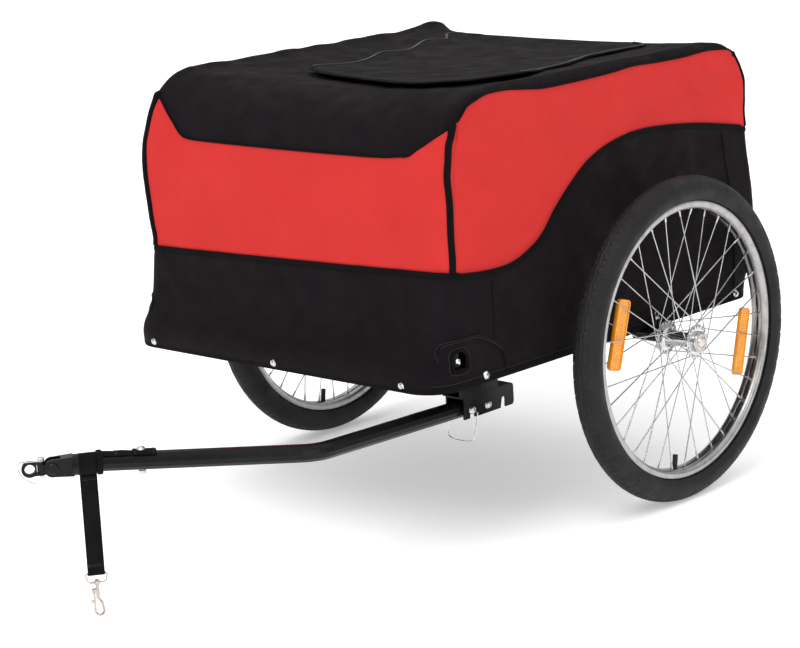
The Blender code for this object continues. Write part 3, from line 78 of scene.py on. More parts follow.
# Where the camera stands, counted from the axle line, and how it is turned
CAMERA_AT = Vector((2.56659, -2.94137, 1.13461))
CAMERA_TURN = math.radians(43.31)
CAMERA_DIP = math.radians(13.0)
CAMERA_ROLL = math.radians(-2.99)
CAMERA_LENS = 112.5
CAMERA_SENSOR = 36.0
CAMERA_REACH = 200.0


def make_camera():
    data = bpy.data.cameras.new("camera")
    data.lens = CAMERA_LENS
    data.sensor_width = CAMERA_SENSOR
    data.sensor_fit = "HORIZONTAL"
    data.clip_end = CAMERA_REACH
    camera = linked("camera", data)
    turn = Matrix.Rotation(CAMERA_TURN, 4, "Z")
    turn @= Matrix.Rotation(math.pi / 2.0 - CAMERA_DIP, 4, "X")
    turn @= Matrix.Rotation(CAMERA_ROLL, 4, "Z")
    camera.matrix_world = Matrix.Translation(CAMERA_AT + AXLE) @ turn
    bpy.context.scene.camera = camera


make_camera()


# Material kit
class Nodes:
    """A material's or a world's nodes, added one after another."""

    def __init__(self, owner):
        owner.use_nodes = True
        self.nodes = owner.node_tree.nodes
        self.links = owner.node_tree.links

    def add(self, kind, settings=None, **inputs):
        """A node. An input is named by its label, or by _ and its number."""
        node = self.nodes.new("ShaderNode" + kind)
        for key, value in (settings or {}).items():
            setattr(node, key, value)
        for key, value in inputs.items():
            place = node.inputs[int(key[1:])] if key[1:].isdigit() else node.inputs[key]
            if isinstance(value, bpy.types.NodeSocket):
                self.links.new(value, place)
            else:
                place.default_value = value
        return node

    def ranged(self, value, low, high, start=0.3, end=0.7):
        """Maps start to end onto low to high."""
        return self.add("MapRange", _0=value, _1=start, _2=end, _3=low, _4=high).outputs[0]


class Look(Nodes):
    def __init__(self, name, colour, roughness, metallic=0.0, **more):
        self.material = bpy.data.materials.new(name)
        super().__init__(self.material)
        self.shader = self.nodes["Principled BSDF"]
        more.update(base_color=(*colour, 1.0), roughness=roughness, metallic=metallic)
        for key, value in more.items():
            label = key.replace("_", " ").title().replace("Ior", "IOR")
            self.shader.inputs[label].default_value = value
        self.colour = colour
        self.height = None

    def maths(self, operation, a, b=0.0):
        return self.add("Math", {"operation": operation}, _0=a, _1=b).outputs[0]

    def place(self, kind="Object"):
        return self.add("TexCoord").outputs[kind]

    def wave(self, along, pitch):
        """A sine wave with that pitch in metres."""
        return self.maths("SINE", self.maths("MULTIPLY", along, math.tau / pitch))

    def cloudy(self, spot, scale, detail=3.0, roughness=0.5):
        return self.add(
            "TexNoise", Vector=spot, Scale=scale, Detail=detail, Roughness=roughness
        ).outputs[0]

    def mottled(self, spot, second, scale, detail=3.0, roughness=0.5, start=0.3, end=0.7):
        """Blends the second colour in, in clouds."""
        share = self.ranged(self.cloudy(spot, scale, detail, roughness), 0.0, 1.0, start, end)
        # The node's inputs 6 and 7 and its output 2 are the ones for colours
        first, second = (*self.colour, 1.0), (*second, 1.0)
        mix = self.add("Mix", {"data_type": "RGBA"}, _0=share, _6=first, _7=second)
        self.links.new(mix.outputs[2], self.shader.inputs["Base Color"])

    def rough(self, spot, low, high, scale, detail=3.0, roughness=0.5):
        """Roughness that changes in clouds."""
        clouds = self.cloudy(spot, scale, detail, roughness)
        self.links.new(self.ranged(clouds, low, high), self.shader.inputs["Roughness"])

    def raised(self, value, amount):
        """Adds to the height map, whose unit is BUMP_UNIT."""
        part = self.maths("MULTIPLY", value, amount)
        self.height = part if self.height is None else self.maths("ADD", self.height, part)

    def bumpy(self, spot, amount, scale, detail=3.0):
        self.raised(self.cloudy(spot, scale, detail), amount)

    def done(self):
        if self.height is not None:
            bump = self.add("Bump", Height=self.height, Distance=BUMP_UNIT, Strength=1.0)
            self.links.new(bump.outputs[0], self.shader.inputs["Normal"])
        return self.material


BUMP_UNIT = 0.001
YARN_PITCH = 0.0009
RIB_PITCH = 0.0016
RIB_CROSS_PITCH = 0.0024


def cloth_look(name, colour, worn, sheen):
    # Coated plain weave, with the yarns along the panel's own two directions
    look = Look(
        name, colour, 0.74, sheen_weight=sheen, sheen_roughness=0.45, specular_ior_level=0.09
    )
    spot = look.place()
    where = look.add("SeparateXYZ", Vector=look.place("UV"))
    warp, weft = (look.wave(where.outputs[axis], YARN_PITCH) for axis in ("X", "Y"))
    look.raised(look.maths("MULTIPLY", warp, weft), 0.10)
    look.bumpy(spot, 0.10, scale=900.0, detail=2.0)
    look.bumpy(spot, 0.9, scale=45.0, detail=4.0)
    look.mottled(spot, worn, scale=9.0, detail=4.0, roughness=0.6)
    look.rough(spot, 0.62, 0.82, scale=30.0)
    return look.done()


def tape_look(name, colour, worn):
    # Ribbed binding tape and webbing
    look = Look(
        name, colour, 0.8, sheen_weight=0.006, sheen_roughness=0.4, specular_ior_level=0.08
    )
    where = look.add("SeparateXYZ", Vector=look.place("UV"))
    along = look.wave(where.outputs["X"], RIB_PITCH)
    across = look.wave(where.outputs["Y"], RIB_CROSS_PITCH)
    look.raised(along, 0.12)
    look.raised(look.maths("MULTIPLY", along, across), 0.12)
    spot = look.place()
    look.bumpy(spot, 0.3, scale=160.0)
    look.mottled(spot, worn, scale=40.0)
    return look.done()


def paint_look(name, colour, worn):
    look = Look(
        name, colour, 0.30, coat_weight=0.02, coat_roughness=0.1, specular_ior_level=0.18
    )
    spot = look.place()
    look.bumpy(spot, 0.10, scale=260.0, detail=2.0)
    look.rough(spot, 0.16, 0.34, scale=22.0, detail=4.0, roughness=0.6)
    look.mottled(spot, worn, scale=14.0, detail=4.0, roughness=0.7, start=0.45, end=0.8)
    return look.done()


METAL_WORN = 0.72


def metal_look(name, colour, low, high, grain=(1.0, 1.0, 1.0), scale=160.0):
    look = Look(name, colour, low, 1.0)
    spot = look.add("Mapping", Vector=look.place(), Scale=grain).outputs[0]
    look.rough(spot, low, high, scale)
    look.bumpy(spot, 0.04, scale * 3.0, detail=2.0)
    worn = tuple(value * METAL_WORN for value in colour)
    look.mottled(look.place(), worn, scale=70.0, detail=4.0, start=0.45, end=0.75)
    return look.done()


def rubber_look(name, colour, worn):
    look = Look(name, colour, 0.6, specular_ior_level=0.24)
    spot = look.place()
    look.bumpy(spot, 0.16, scale=500.0)
    look.bumpy(spot, 0.3, scale=60.0)
    look.rough(spot, 0.48, 0.72, scale=35.0, detail=4.0)
    look.mottled(spot, worn, scale=24.0, detail=5.0, roughness=0.65)
    return look.done()


def plastic_look(name, colour, roughness):
    look = Look(name, colour, roughness)
    spot = look.place()
    look.bumpy(spot, 0.12, scale=420.0, detail=2.0)
    look.rough(spot, roughness - 0.08, roughness + 0.1, scale=30.0)
    look.mottled(spot, tuple(value * 1.5 for value in colour), scale=18.0)
    return look.done()


def amber_look(name, colour, worn):
    look = Look(name, colour, 0.16, coat_weight=0.3, coat_roughness=0.05)
    spot = look.place()
    cells = look.add("TexVoronoi", {"feature": "F1"}, Vector=spot, Scale=420.0)
    look.raised(cells.outputs["Distance"], 0.5)
    look.mottled(spot, worn, scale=90.0, detail=4.0)
    return look.done()


BLACK_CLOTH = cloth_look("black_cloth", (0.0046, 0.0026, 0.0040), (0.0070, 0.0044, 0.0062), 0.004)
RED_CLOTH = cloth_look("red_cloth", (0.61, 0.033, 0.030), (0.56, 0.029, 0.027), 0.012)
TAPE = tape_look("binding_tape", (0.0028, 0.0024, 0.0028), (0.0044, 0.0038, 0.0044))
WEBBING = tape_look("strap_webbing", (0.0044, 0.0038, 0.0040), (0.0070, 0.0060, 0.0064))
PAINT = paint_look("black_paint", (0.0040, 0.0036, 0.0045), (0.009, 0.0085, 0.0095))
CHROME = metal_look("chrome", (0.62, 0.62, 0.63), 0.08, 0.2)
ZINC = metal_look("zinc_plate", (0.62, 0.62, 0.62), 0.22, 0.38)
NICKEL = metal_look("nickel_plate", (0.52, 0.46, 0.41), 0.18, 0.32)
ALLOY = metal_look("rim_alloy", (0.40, 0.39, 0.39), 0.24, 0.36, (1.0, 0.12, 0.12), 240.0)
SPOKE_STEEL = metal_look("spoke_steel", (0.52, 0.52, 0.52), 0.16, 0.3)
TYRE_RUBBER = rubber_look("tyre_rubber", (0.0072, 0.0066, 0.0078), (0.0130, 0.0120, 0.0135))
VALVE_RUBBER = rubber_look("valve_rubber", (0.014, 0.014, 0.015), (0.02, 0.02, 0.02))
BOARD = plastic_look("floor_board", (0.012, 0.012, 0.013), 0.5)
AMBER = amber_look("amber_lens", (0.80, 0.25, 0.004), (0.86, 0.35, 0.012))
THREAD_GREY = plastic_look("sewing_thread", (0.022, 0.021, 0.023), 0.6)
ZIP_COIL = plastic_look("zip_coil", (0.034, 0.033, 0.035), 0.5)


# Mesh kit
def finished(name, mesh, materials, body, stands_for=(), smooth=40.0):
    for material in materials:
        mesh.materials.append(material)
    if smooth:
        mesh.shade_smooth()
        mesh.set_sharp_from_angle(angle=math.radians(smooth))
    piece = linked(name, mesh)
    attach(piece, body)
    if stands_for:
        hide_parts(*stands_for)
    return piece


def lengths(points, axis):
    """Distances from the start of a line or of a grid's rows or columns."""
    first = np.take(points, [0], axis=axis)
    steps = np.linalg.norm(np.diff(points, axis=axis, prepend=first), axis=-1)
    return np.cumsum(steps, axis=axis)


def plain_mesh(name, points, faces):
    """A mesh of points counted from the axle line."""
    mesh = bpy.data.meshes.new(name)
    mesh.from_pydata((np.array(points, float) + np.array(AXLE)).tolist(), [], faces)
    return mesh


def capped(mesh, rings, outward=False):
    """Adds a face over each ring of point numbers, and can turn all faces outward."""
    work = bmesh.new()
    work.from_mesh(mesh)
    work.verts.ensure_lookup_table()
    for ring in rings:
        work.faces.new([work.verts[number] for number in ring])
    if outward:
        bmesh.ops.recalc_face_normals(work, faces=work.faces)
    work.to_mesh(mesh)
    work.free()


def grid_mesh(name, points, closed=False, second_from=None):
    """A sheet of quads over points[row][column], with its UVs in metres."""
    rows, columns = points.shape[:2]
    across = columns if closed else columns - 1
    row, column = (marks.reshape(-1, 1) for marks in np.mgrid[: rows - 1, :across])
    row, column = row + np.array((0, 0, 1, 1)), column + np.array((0, 1, 1, 0))
    faces = row * columns + column % columns
    mesh = plain_mesh(name, points.reshape(-1, 3), faces.tolist())
    along, up = lengths(points, 1), lengths(points, 0)
    seam = np.linalg.norm(points[:, 0] - points[:, -1], axis=-1)
    along = np.column_stack([along, along[:, -1] + seam])
    up = np.column_stack([up, up[:, 0]])
    spots = np.stack([along[row, column], up[row, column]], axis=-1)
    mesh.uv_layers.new(name="UVMap").data.foreach_set("uv", spots.ravel())
    if second_from is not None:
        # The second material begins at that row
        mesh.polygons.foreach_set("material_index", (row[:, 0] >= second_from).astype(int))
    mesh.update()
    return mesh


def thicken(piece, thickness, offset=-1.0):
    step = piece.modifiers.new("thickness", "SOLIDIFY")
    step.thickness = thickness
    step.offset = offset
    step.use_even_offset = False
    return piece


def rods(name, runs, material, body, slot=None, stands_for=(), sides=8):
    """Many short round rods, each a (start, end, start radius, end radius), as one mesh."""
    points, faces = [], []
    angles = [math.tau * step / sides for step in range(sides)]
    circle = [(math.cos(angle), math.sin(angle)) for angle in angles]
    for start, end, *radii in runs:
        start, end = Vector(start), Vector(end)
        turn = (end - start).to_track_quat("Z", "Y").to_matrix()
        low, high = len(points), len(points) + sides
        for centre, radius in zip((start, end), radii):
            points += [tuple(centre + turn @ Vector((radius * x, radius * y, 0.0))) for x, y in circle]
        for step in range(sides):
            after = (step + 1) % sides
            faces.append((low + step, low + after, high + after, high + step))
        faces += [list(range(high - 1, low - 1, -1)), list(range(high, high + sides))]
    mesh = plain_mesh(name, points, faces)
    return finished(name, mesh, [material], body, stands_for)


def curve(a, b, c, d, f):
    """A smooth curve from b to c, with a before them and d after them."""
    square = (2.0 * a - 5.0 * b + 4.0 * c - d) * f**2
    cube = (3.0 * b - a - 3.0 * c + d) * f**3
    return 0.5 * (2.0 * b + (c - a) * f + square + cube)


def through(points, per_span=8, closed=False):
    """A smooth line through the points."""
    points = np.array(points, float)
    count = len(points)
    spans = np.arange(count if closed else count - 1)
    around = spans + np.array((-1, 0, 1, 2))[:, None]
    around = around % count if closed else np.clip(around, 0, count - 1)
    share = np.arange(per_span)[None, :, None] / per_span
    made = curve(*points[around][:, :, None], share).reshape(-1, points.shape[1])
    return made if closed else np.concatenate([made, points[-1:]])


# Cloth body: height, half width, front, rear and the corner radii of its levels
CLOTH_LEVELS = np.array((
    (0.2575, 0.3160, -0.489, 0.263, 0.050, 0.034),
    (0.2860, 0.3165, -0.489, 0.265, 0.050, 0.030),
    (0.3250, 0.3165, -0.455, 0.268, 0.030, 0.022),
    (0.4150, 0.3120, -0.442, 0.271, 0.018, 0.014),
    (0.5250, 0.3100, -0.440, 0.266, 0.016, 0.012),
    (0.5900, 0.3085, -0.434, 0.262, 0.016, 0.012),
    (0.6260, 0.3065, -0.423, 0.256, 0.016, 0.013),
    (0.6480, 0.3055, -0.405, 0.245, 0.016, 0.014),
    (0.6610, 0.3020, -0.384, 0.226, 0.016, 0.016),
    (0.6680, 0.2940, -0.358, 0.198, 0.018, 0.018),
))
TOP = len(CLOTH_LEVELS) - 1
TOP_T = TOP - 1e-3
ROOF_TOP = CLOTH_LEVELS[-1][0]
# Columns round the body: front, corner, near side, corner, rear, corner, far side, corner
COLUMN_COUNTS = (66, 7, 90, 7, 60, 7, 90, 7)
FRONT_NEAR, NEAR, REAR_NEAR = 1, 2, 3
REAR_FAR, FAR, FRONT_FAR = 5, 6, 7
SEGMENTS = np.repeat(range(8), COLUMN_COUNTS)
SHARES = np.concatenate([np.arange(count) / count for count in COLUMN_COUNTS])


def levels_at(t):
    """The six values of the levels at t, smoothly between them."""
    t = np.clip(t, 0.0, TOP - 1e-6)
    base = t.astype(int)
    around = (CLOTH_LEVELS[np.clip(base + step, 0, TOP)] for step in (-1, 0, 1, 2))
    return curve(*around, (t - base)[..., None])


def body_points(t):
    """Points of the cloth body, for t[row][column]."""
    z, half, front, rear, front_r, rear_r = np.moveaxis(levels_at(t), -1, 0)
    sin, cos = np.sin(SHARES * math.pi / 2.0), np.cos(SHARES * math.pi / 2.0)
    straight = rear - rear_r - front - front_r
    x = np.choose(SEGMENTS, (
        (2.0 * SHARES - 1.0) * (half - front_r),
        half - front_r + front_r * sin,
        half,
        half - rear_r * (1.0 - cos),
        (1.0 - 2.0 * SHARES) * (half - rear_r),
        -half + rear_r - rear_r * sin,
        -half,
        -half + front_r * (1.0 - cos),
    ))
    y = np.choose(SEGMENTS, (
        front,
        front + front_r * (1.0 - cos),
        front + front_r + SHARES * straight,
        rear - rear_r + rear_r * sin,
        rear,
        rear - rear_r * (1.0 - cos),
        rear - rear_r - SHARES * straight,
        front + front_r - front_r * sin,
    ))
    return np.stack([x, y, z], axis=-1)


# Where the red cover ends: Y and Z along the side, X and Z across the front
SIDE_SEAM = (
    (-0.445, 0.4235), (-0.380, 0.4165), (-0.322, 0.4165), (-0.285, 0.4260), (-0.252, 0.4430),
    (-0.220, 0.4740), (-0.180, 0.5090), (-0.128, 0.5400), (-0.060, 0.5580), (0.011, 0.5620),
    (0.130, 0.5520), (0.265, 0.5290),
)
FRONT_SEAM = ((-0.310, 0.4050), (0.0, 0.4140), (0.310, 0.4235))
REAR_SEAM_Z = 0.528
FAR_SEAM_FROM, FAR_SEAM_RUN = -0.44, 0.12
# Where the black roof panel ends: X and Z across the front, Y and Z along the sides
FRONT_BORDER = (
    (-0.310, 0.6380), (-0.286, 0.6310), (-0.266, 0.6160), (-0.246, 0.5985), (-0.235, 0.5873),
    (-0.2256, 0.5812), (-0.2145, 0.5771), (-0.170, 0.5755), (0.000, 0.5750), (0.170, 0.5765),
    (0.2157, 0.5799), (0.2360, 0.5815), (0.2483, 0.5892), (0.2638, 0.5979), (0.2830, 0.6096),
    (0.3002, 0.6197), (0.312, 0.6285),
)
SIDE_BORDER = (
    (-0.430, 0.6310), (-0.4085, 0.6345), (-0.4005, 0.6418), (-0.3833, 0.6504), (-0.3662, 0.6550),
    (-0.3489, 0.6592), (-0.3295, 0.6606), (-0.2975, 0.6598), (-0.2651, 0.6567), (-0.2211, 0.6523),
    (-0.1647, 0.6520), (-0.1069, 0.6531), (-0.0597, 0.6544), (-0.0114, 0.6572), (0.0497, 0.6555),
    (0.1124, 0.6551), (0.1768, 0.6575), (0.2238, 0.6540), (0.2600, 0.6530),
)
FAR_BORDER = (
    (-0.430, 0.6380), (-0.405, 0.6450), (-0.370, 0.6560), (-0.340, 0.6600), (0.26, 0.6600),
)
REAR_BORDER_Z = 0.6400


def along_line(table, value):
    line = through(table, 6)
    return np.interp(value, line[:, 0], line[:, 1])


def seam_height(x, y):
    """Height of the cover's lower edge at each column."""
    front, side = along_line(FRONT_SEAM, x), along_line(SIDE_SEAM, y)
    far_corner = along_line(FRONT_SEAM, FRONT_SEAM[0][0])
    fade = 1.0 - smooth_step((y - FAR_SEAM_FROM) / FAR_SEAM_RUN)
    far = side + (far_corner - SIDE_SEAM[0][1]) * fade
    choices = [front, SIDE_SEAM[0][1], side, REAR_SEAM_Z, REAR_SEAM_Z, REAR_SEAM_Z, far, far_corner]
    return np.choose(SEGMENTS, choices)


def border_height(x, y):
    """Height of the roof panel's lower edge at each column."""
    front, side = along_line(FRONT_BORDER, x), along_line(SIDE_BORDER, y)
    front_near = front + (SIDE_BORDER[1][1] - front) * SHARES**2
    drop = REAR_BORDER_Z - SIDE_BORDER[-1][1]
    rear_near = SIDE_BORDER[-1][1] + drop * smooth_step(SHARES)
    rear_far = SIDE_BORDER[-1][1] + drop * smooth_step(1.0 - SHARES)
    far, front_far = along_line(FAR_BORDER, y), FRONT_BORDER[0][1]
    choices = [front, front_near, side, rear_near, REAR_BORDER_Z, rear_far, far, front_far]
    return np.choose(SEGMENTS, choices)


def level_of(height):
    """The t of each column at which the body passes that height."""
    low, high = np.zeros(len(SEGMENTS)), np.full(len(SEGMENTS), TOP_T)
    for _ in range(40):
        t = (low + high) / 2.0
        points = body_points(t[None, :])[0]
        under = points[:, 2] < height(points[:, 0], points[:, 1])
        low = np.where(under, t, low)
        high = np.where(under, high, t)
    return t


SEAM_T = level_of(seam_height)
BORDER_T = level_of(border_height)

# Roof flap, seen from above
FLAP_EDGE = (
    (-0.186, 0.173), (-0.180, 0.116), (-0.197, 0.086), (-0.160, 0.007), (-0.174, -0.044),
    (-0.147, -0.113), (-0.142, -0.165), (-0.143, -0.226), (-0.110, -0.262), (-0.042, -0.293),
    (0.060, -0.321), (0.140, -0.341), (0.195, -0.345), (0.240, -0.318), (0.265, -0.272),
    (0.266, -0.218), (0.224, -0.127), (0.220, -0.067), (0.184, 0.034), (0.190, 0.102),
    (0.164, 0.173),
)
FLAP_MIDDLE = np.array((0.035, -0.080))
FLAP_LAP = 0.013
SAG_HALF_W = 0.292
SAG_ACROSS = 0.011
SAG_BETWEEN = 0.007
SAG_MIDDLE_Y, SAG_HALF_L = -0.08, 0.26
SAG_FROM_Z = 0.600


def roof_dip(x, y):
    """How far the roof cloth hangs below its side edges."""
    across = 1.0 - np.clip(np.abs(x) / SAG_HALF_W, 0.0, 1.0) ** 2.4
    between = np.clip(1.0 - ((y - SAG_MIDDLE_Y) / SAG_HALF_L) ** 2, 0.0, 1.0)
    return across * (SAG_ACROSS + SAG_BETWEEN * between)


def flap_reach(x, y, shrink):
    """The flap's edge point in the direction of x, y from its middle."""
    span = through(FLAP_EDGE, 6, closed=True) - FLAP_MIDDLE
    angles = np.arctan2(span[:, 1], span[:, 0])
    sizes = np.linalg.norm(span, axis=1)
    order = np.argsort(angles)
    wanted = np.arctan2(y - FLAP_MIDDLE[1], x - FLAP_MIDDLE[0])
    size = np.interp(wanted, angles[order], sizes[order], period=math.tau) - shrink
    return FLAP_MIDDLE[0] + size * np.cos(wanted), FLAP_MIDDLE[1] + size * np.sin(wanted)


# Folds in the cloth: ends, width across and height
FOLDS = (
    ((0.31, -0.43, 0.62), (0.31, -0.20, 0.52), 0.016, 0.0050),
    ((0.31, -0.42, 0.56), (0.31, -0.26, 0.46), 0.013, 0.0042),
    ((0.31, -0.41, 0.47), (0.31, -0.30, 0.44), 0.010, 0.0034),
    ((0.31, -0.38, 0.65), (0.31, -0.10, 0.60), 0.018, 0.0028),
    ((0.31, 0.24, 0.64), (0.31, 0.02, 0.60), 0.015, 0.0042),
    ((0.31, 0.25, 0.60), (0.31, 0.10, 0.58), 0.012, -0.0022),
    ((0.27, -0.44, 0.60), (0.20, -0.44, 0.45), 0.013, 0.0026),
    ((0.22, -0.44, 0.58), (0.17, -0.44, 0.46), 0.012, -0.0018),
    ((-0.28, -0.44, 0.62), (-0.22, -0.44, 0.48), 0.014, 0.0026),
    ((-0.10, -0.44, 0.575), (-0.06, -0.44, 0.46), 0.020, 0.0014),
    ((0.29, -0.46, 0.40), (0.25, -0.48, 0.30), 0.012, 0.0028),
    ((0.315, -0.40, 0.40), (0.315, -0.34, 0.30), 0.012, 0.0028),
    ((-0.28, -0.45, 0.39), (-0.20, -0.47, 0.30), 0.013, 0.0028),
    ((-0.10, -0.45, 0.34), (0.08, -0.46, 0.31), 0.016, 0.0020),
    ((0.315, -0.20, 0.44), (0.315, -0.12, 0.30), 0.014, 0.0024),
    ((0.28, -0.38, 0.667), (0.10, -0.365, 0.662), 0.012, 0.0030),
    ((-0.28, -0.38, 0.667), (-0.06, -0.33, 0.660), 0.012, 0.0030),
    ((-0.27, -0.30, 0.667), (-0.18, -0.10, 0.660), 0.012, 0.0028),
    ((-0.28, 0.18, 0.667), (-0.20, 0.02, 0.660), 0.012, 0.0030),
    ((0.28, 0.19, 0.667), (0.22, 0.06, 0.662), 0.012, 0.0028),
)
FOLD_START, FOLD_END = 0.15, 0.6
# Small waves in the cloth: height, scale and seed
BODY_WAVES = ((0.0016, 9.0, 1.0), (0.0009, 28.0, 2.0))
FLAP_WAVES = ((0.0010, 10.0, 5.0), (0.0006, 30.0, 6.0))


def bell(value, centre, width):
    return np.exp(-(((value - centre) / width) ** 2))


def fold_height(points):
    total = np.zeros(points.shape[:-1])
    for start, end, width, height in FOLDS:
        start, end = np.array(start), np.array(end)
        run = end - start
        along = np.clip(((points - start) @ run) / (run @ run), 0.0, 1.0)
        away = np.linalg.norm(points - (start + along[..., None] * run), axis=-1)
        taper = smooth_step(along / FOLD_START) * smooth_step((1.0 - along) / FOLD_END)
        total += height * taper * bell(away, 0.0, width)
    return total


def drift(points, scale, seed):
    offset = Vector((seed * 7.3, seed * 3.1, seed * 5.7))
    values = [
        noise.fractal(Vector(p) * scale + offset, 1.0, 2.0, 2) for p in points.reshape(-1, 3)
    ]
    return np.array(values).reshape(points.shape[:-1])


def normals_of(points):
    along = np.roll(points, -1, axis=1) - np.roll(points, 1, axis=1)
    return unit(np.cross(along, np.gradient(points, axis=0)))


HEM = 0.012
WALL_BILLOW = 0.004
FAR_BULGE, FAR_PINCH = 0.009, 0.003
REAR_BULGE, REAR_TOP_BULGE = 0.0085, 0.0050
LUMP = 0.0085
RIDGE, RIDGE_LONG_WAVE, RIDGE_SHORT_WAVE = 0.0030, 0.0016, 0.0010
HEM_SLACK = 0.15


def half_wave(value, start, length):
    return np.sin(np.clip((value - start) / length, 0.0, 1.0) * math.pi)


def draped(points):
    """The cloth's slack: billows, folds and small waves, held at the hem."""
    x, y, z = np.moveaxis(points, -1, 0)
    out = normals_of(points)
    push = fold_height(points)
    for height, scale, seed in BODY_WAVES:
        push += height * drift(points, scale, seed)
    wall = smooth_step((ROOF_TOP - 0.012 - z) / 0.03)
    # The front wall, and its far corner with a bulge over a pinch
    front = np.clip((-0.30 - y) / 0.12, 0.0, 1.0)
    middle_x = 1.0 - (np.clip(np.abs(x) / 0.30, 0, 1)) ** 2
    push += wall * front * middle_x * WALL_BILLOW * half_wave(z, 0.30, 0.33)
    far_corner = bell(x, -0.31, 0.05) * front
    push += far_corner * FAR_BULGE * bell(z, 0.530, 0.070)
    push -= far_corner * FAR_PINCH * bell(z, 0.413, 0.020)
    # The side walls, and the near one's rear corner
    side = smooth_step((np.abs(x) - 0.28) / 0.02)
    push += side * wall * WALL_BILLOW * half_wave(y, -0.44, 0.70) * half_wave(z, 0.28, 0.38)
    rear_near = bell(x, 0.31, 0.06) * bell(y, 0.265, 0.06)
    push += rear_near * REAR_BULGE * bell(z, 0.400, 0.090)
    push += rear_near * REAR_TOP_BULGE * bell(z, 0.600, 0.035)
    # The far edge of the roof: a ridge over the bar, and a lump at its rear end
    push += LUMP * bell(x, -0.292, 0.024) * bell(y, 0.208, 0.030) * smooth_step((z - 0.635) / 0.02)
    ridge = bell(x, -0.287, 0.010) * smooth_step((z - 0.640) / 0.02)
    ripple = RIDGE_LONG_WAVE * np.sin(y * 34.0) + RIDGE_SHORT_WAVE * np.sin(y * 83.0 + 1.0)
    push += ridge * (RIDGE + ripple)
    hold = smooth_step((z - 0.262) / 0.05)
    return points + out * (push * np.maximum(hold, HEM_SLACK))[..., None]


def lifted(points):
    """Lets the roof and the tops of the walls follow the roof's sag."""
    x, y, z = np.moveaxis(points, -1, 0)
    share = smooth_step((z - SAG_FROM_Z) / (ROOF_TOP - SAG_FROM_Z))
    made = points.copy()
    made[..., 2] -= share * roof_dip(x, y)
    return made


TUB_ROWS = 40
RED_ROWS = 34
EDGE_ROWS = 16
ROOF_ROWS = 18


def steps_to(count):
    return [step / count for step in range(1, count + 1)]


def body_grid():
    rows = [SEAM_T * share for share in np.linspace(0.0, 1.0, TUB_ROWS + 1)]
    rows += [SEAM_T + (BORDER_T - SEAM_T) * share for share in steps_to(RED_ROWS)]
    rows += [BORDER_T + (TOP_T - BORDER_T) * share for share in steps_to(EDGE_ROWS)]
    walls = body_points(np.array(rows))
    edge = walls[-1]
    inner_x, inner_y = flap_reach(edge[:, 0], edge[:, 1], FLAP_LAP)
    inner = np.stack([inner_x, inner_y, np.full(len(inner_x), ROOF_TOP)], axis=-1)
    roof = [edge + (inner - edge) * share for share in steps_to(ROOF_ROWS)]
    return draped(lifted(np.concatenate([walls, np.array(roof)])))


BODY = body_grid()
NORMALS = normals_of(BODY)
TUB_GRID = BODY[: TUB_ROWS + 1]
COVER_GRID = BODY[TUB_ROWS:]
CLOTH_T = 0.0016
UP = np.array((0.0, 0.0, 1.0))
# Bodies and slots of the cloth and its trims
TUB = ("trailer", "tub")
COVER = ("trailer", "cover")
FLAP = ("roof_flap", "roof_flap")


def cloth_piece(name, grid, materials, body, node, second_from=None, rings=()):
    mesh = grid_mesh(name, grid, True, second_from)
    if rings:
        capped(mesh, rings)
    piece = finished(name, mesh, materials, body, [node], 0.0)
    piece.data.shade_smooth()
    return thicken(piece, CLOTH_T)


WINDOW_Y = -0.436
WINDOW_HALF_W, WINDOW_LOW, WINDOW_SPRING = 0.0115, 0.289, 0.3015
WINDOW_CUT_X = (0.26, 0.34)


def window_outline(grow=0.0):
    half = WINDOW_HALF_W + grow
    arch = [
        (WINDOW_Y + half * math.cos(a), WINDOW_SPRING + half * math.sin(a))
        for a in np.linspace(0.0, math.pi, 15)
    ]
    low = WINDOW_LOW - grow
    return arch + [(WINDOW_Y - half, low), (WINDOW_Y + half, low)]


def make_window(side, tub):
    """Cuts the window of one side wall with a hidden shape."""
    outline = window_outline()
    count = len(outline)
    points = [(side * x, y, z) for x in WINDOW_CUT_X for y, z in outline]
    faces = [list(range(count)), list(range(2 * count - 1, count - 1, -1))]
    faces += [(k, k + count, (k + 1) % count + count, (k + 1) % count) for k in range(count)]
    mesh = plain_mesh("window_shape", points, faces)
    mesh.materials.append(BLACK_CLOTH)
    capped(mesh, (), outward=True)
    shape = linked("window_shape", mesh)
    shape.hide_render = True
    shape.display_type = "WIRE"
    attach(shape, "trailer")
    hole = tub.modifiers.new("window", "BOOLEAN")
    hole.operation = "DIFFERENCE"
    hole.solver = "EXACT"
    hole.object = shape


def on_wall(spots, side=1, lift=0.0):
    """Points on the near or far wall at those (y, z) spots, and the outward directions."""
    segments = (FRONT_NEAR, NEAR, REAR_NEAR) if side > 0 else (REAR_FAR, FAR, FRONT_FAR)
    chosen = np.isin(SEGMENTS, segments)
    wall = BODY[: TUB_ROWS + RED_ROWS][:, chosen].reshape(-1, 3)
    facing = NORMALS[: TUB_ROWS + RED_ROWS][:, chosen].reshape(-1, 3)
    spots = np.array(spots, float)
    away = (wall[None, :, 1] - spots[:, None, 0]) ** 2
    away += (wall[None, :, 2] - spots[:, None, 1]) ** 2
    weight = np.exp(-(away - away.min(axis=1, keepdims=True)) / 0.0045**2)
    weight /= weight.sum(axis=1, keepdims=True)
    points = np.stack([weight @ wall[:, 0], spots[:, 0], spots[:, 1]], axis=1)
    out = unit(weight @ facing)
    return points + out * lift, out


def sideways(line, out, closed=False):
    """Unit directions that lie in the cloth, square to a line on it."""
    if closed:
        run = np.roll(line, -1, axis=0) - np.roll(line, 1, axis=0)
    else:
        run = np.gradient(line, axis=0)
    return unit(np.cross(run, out))


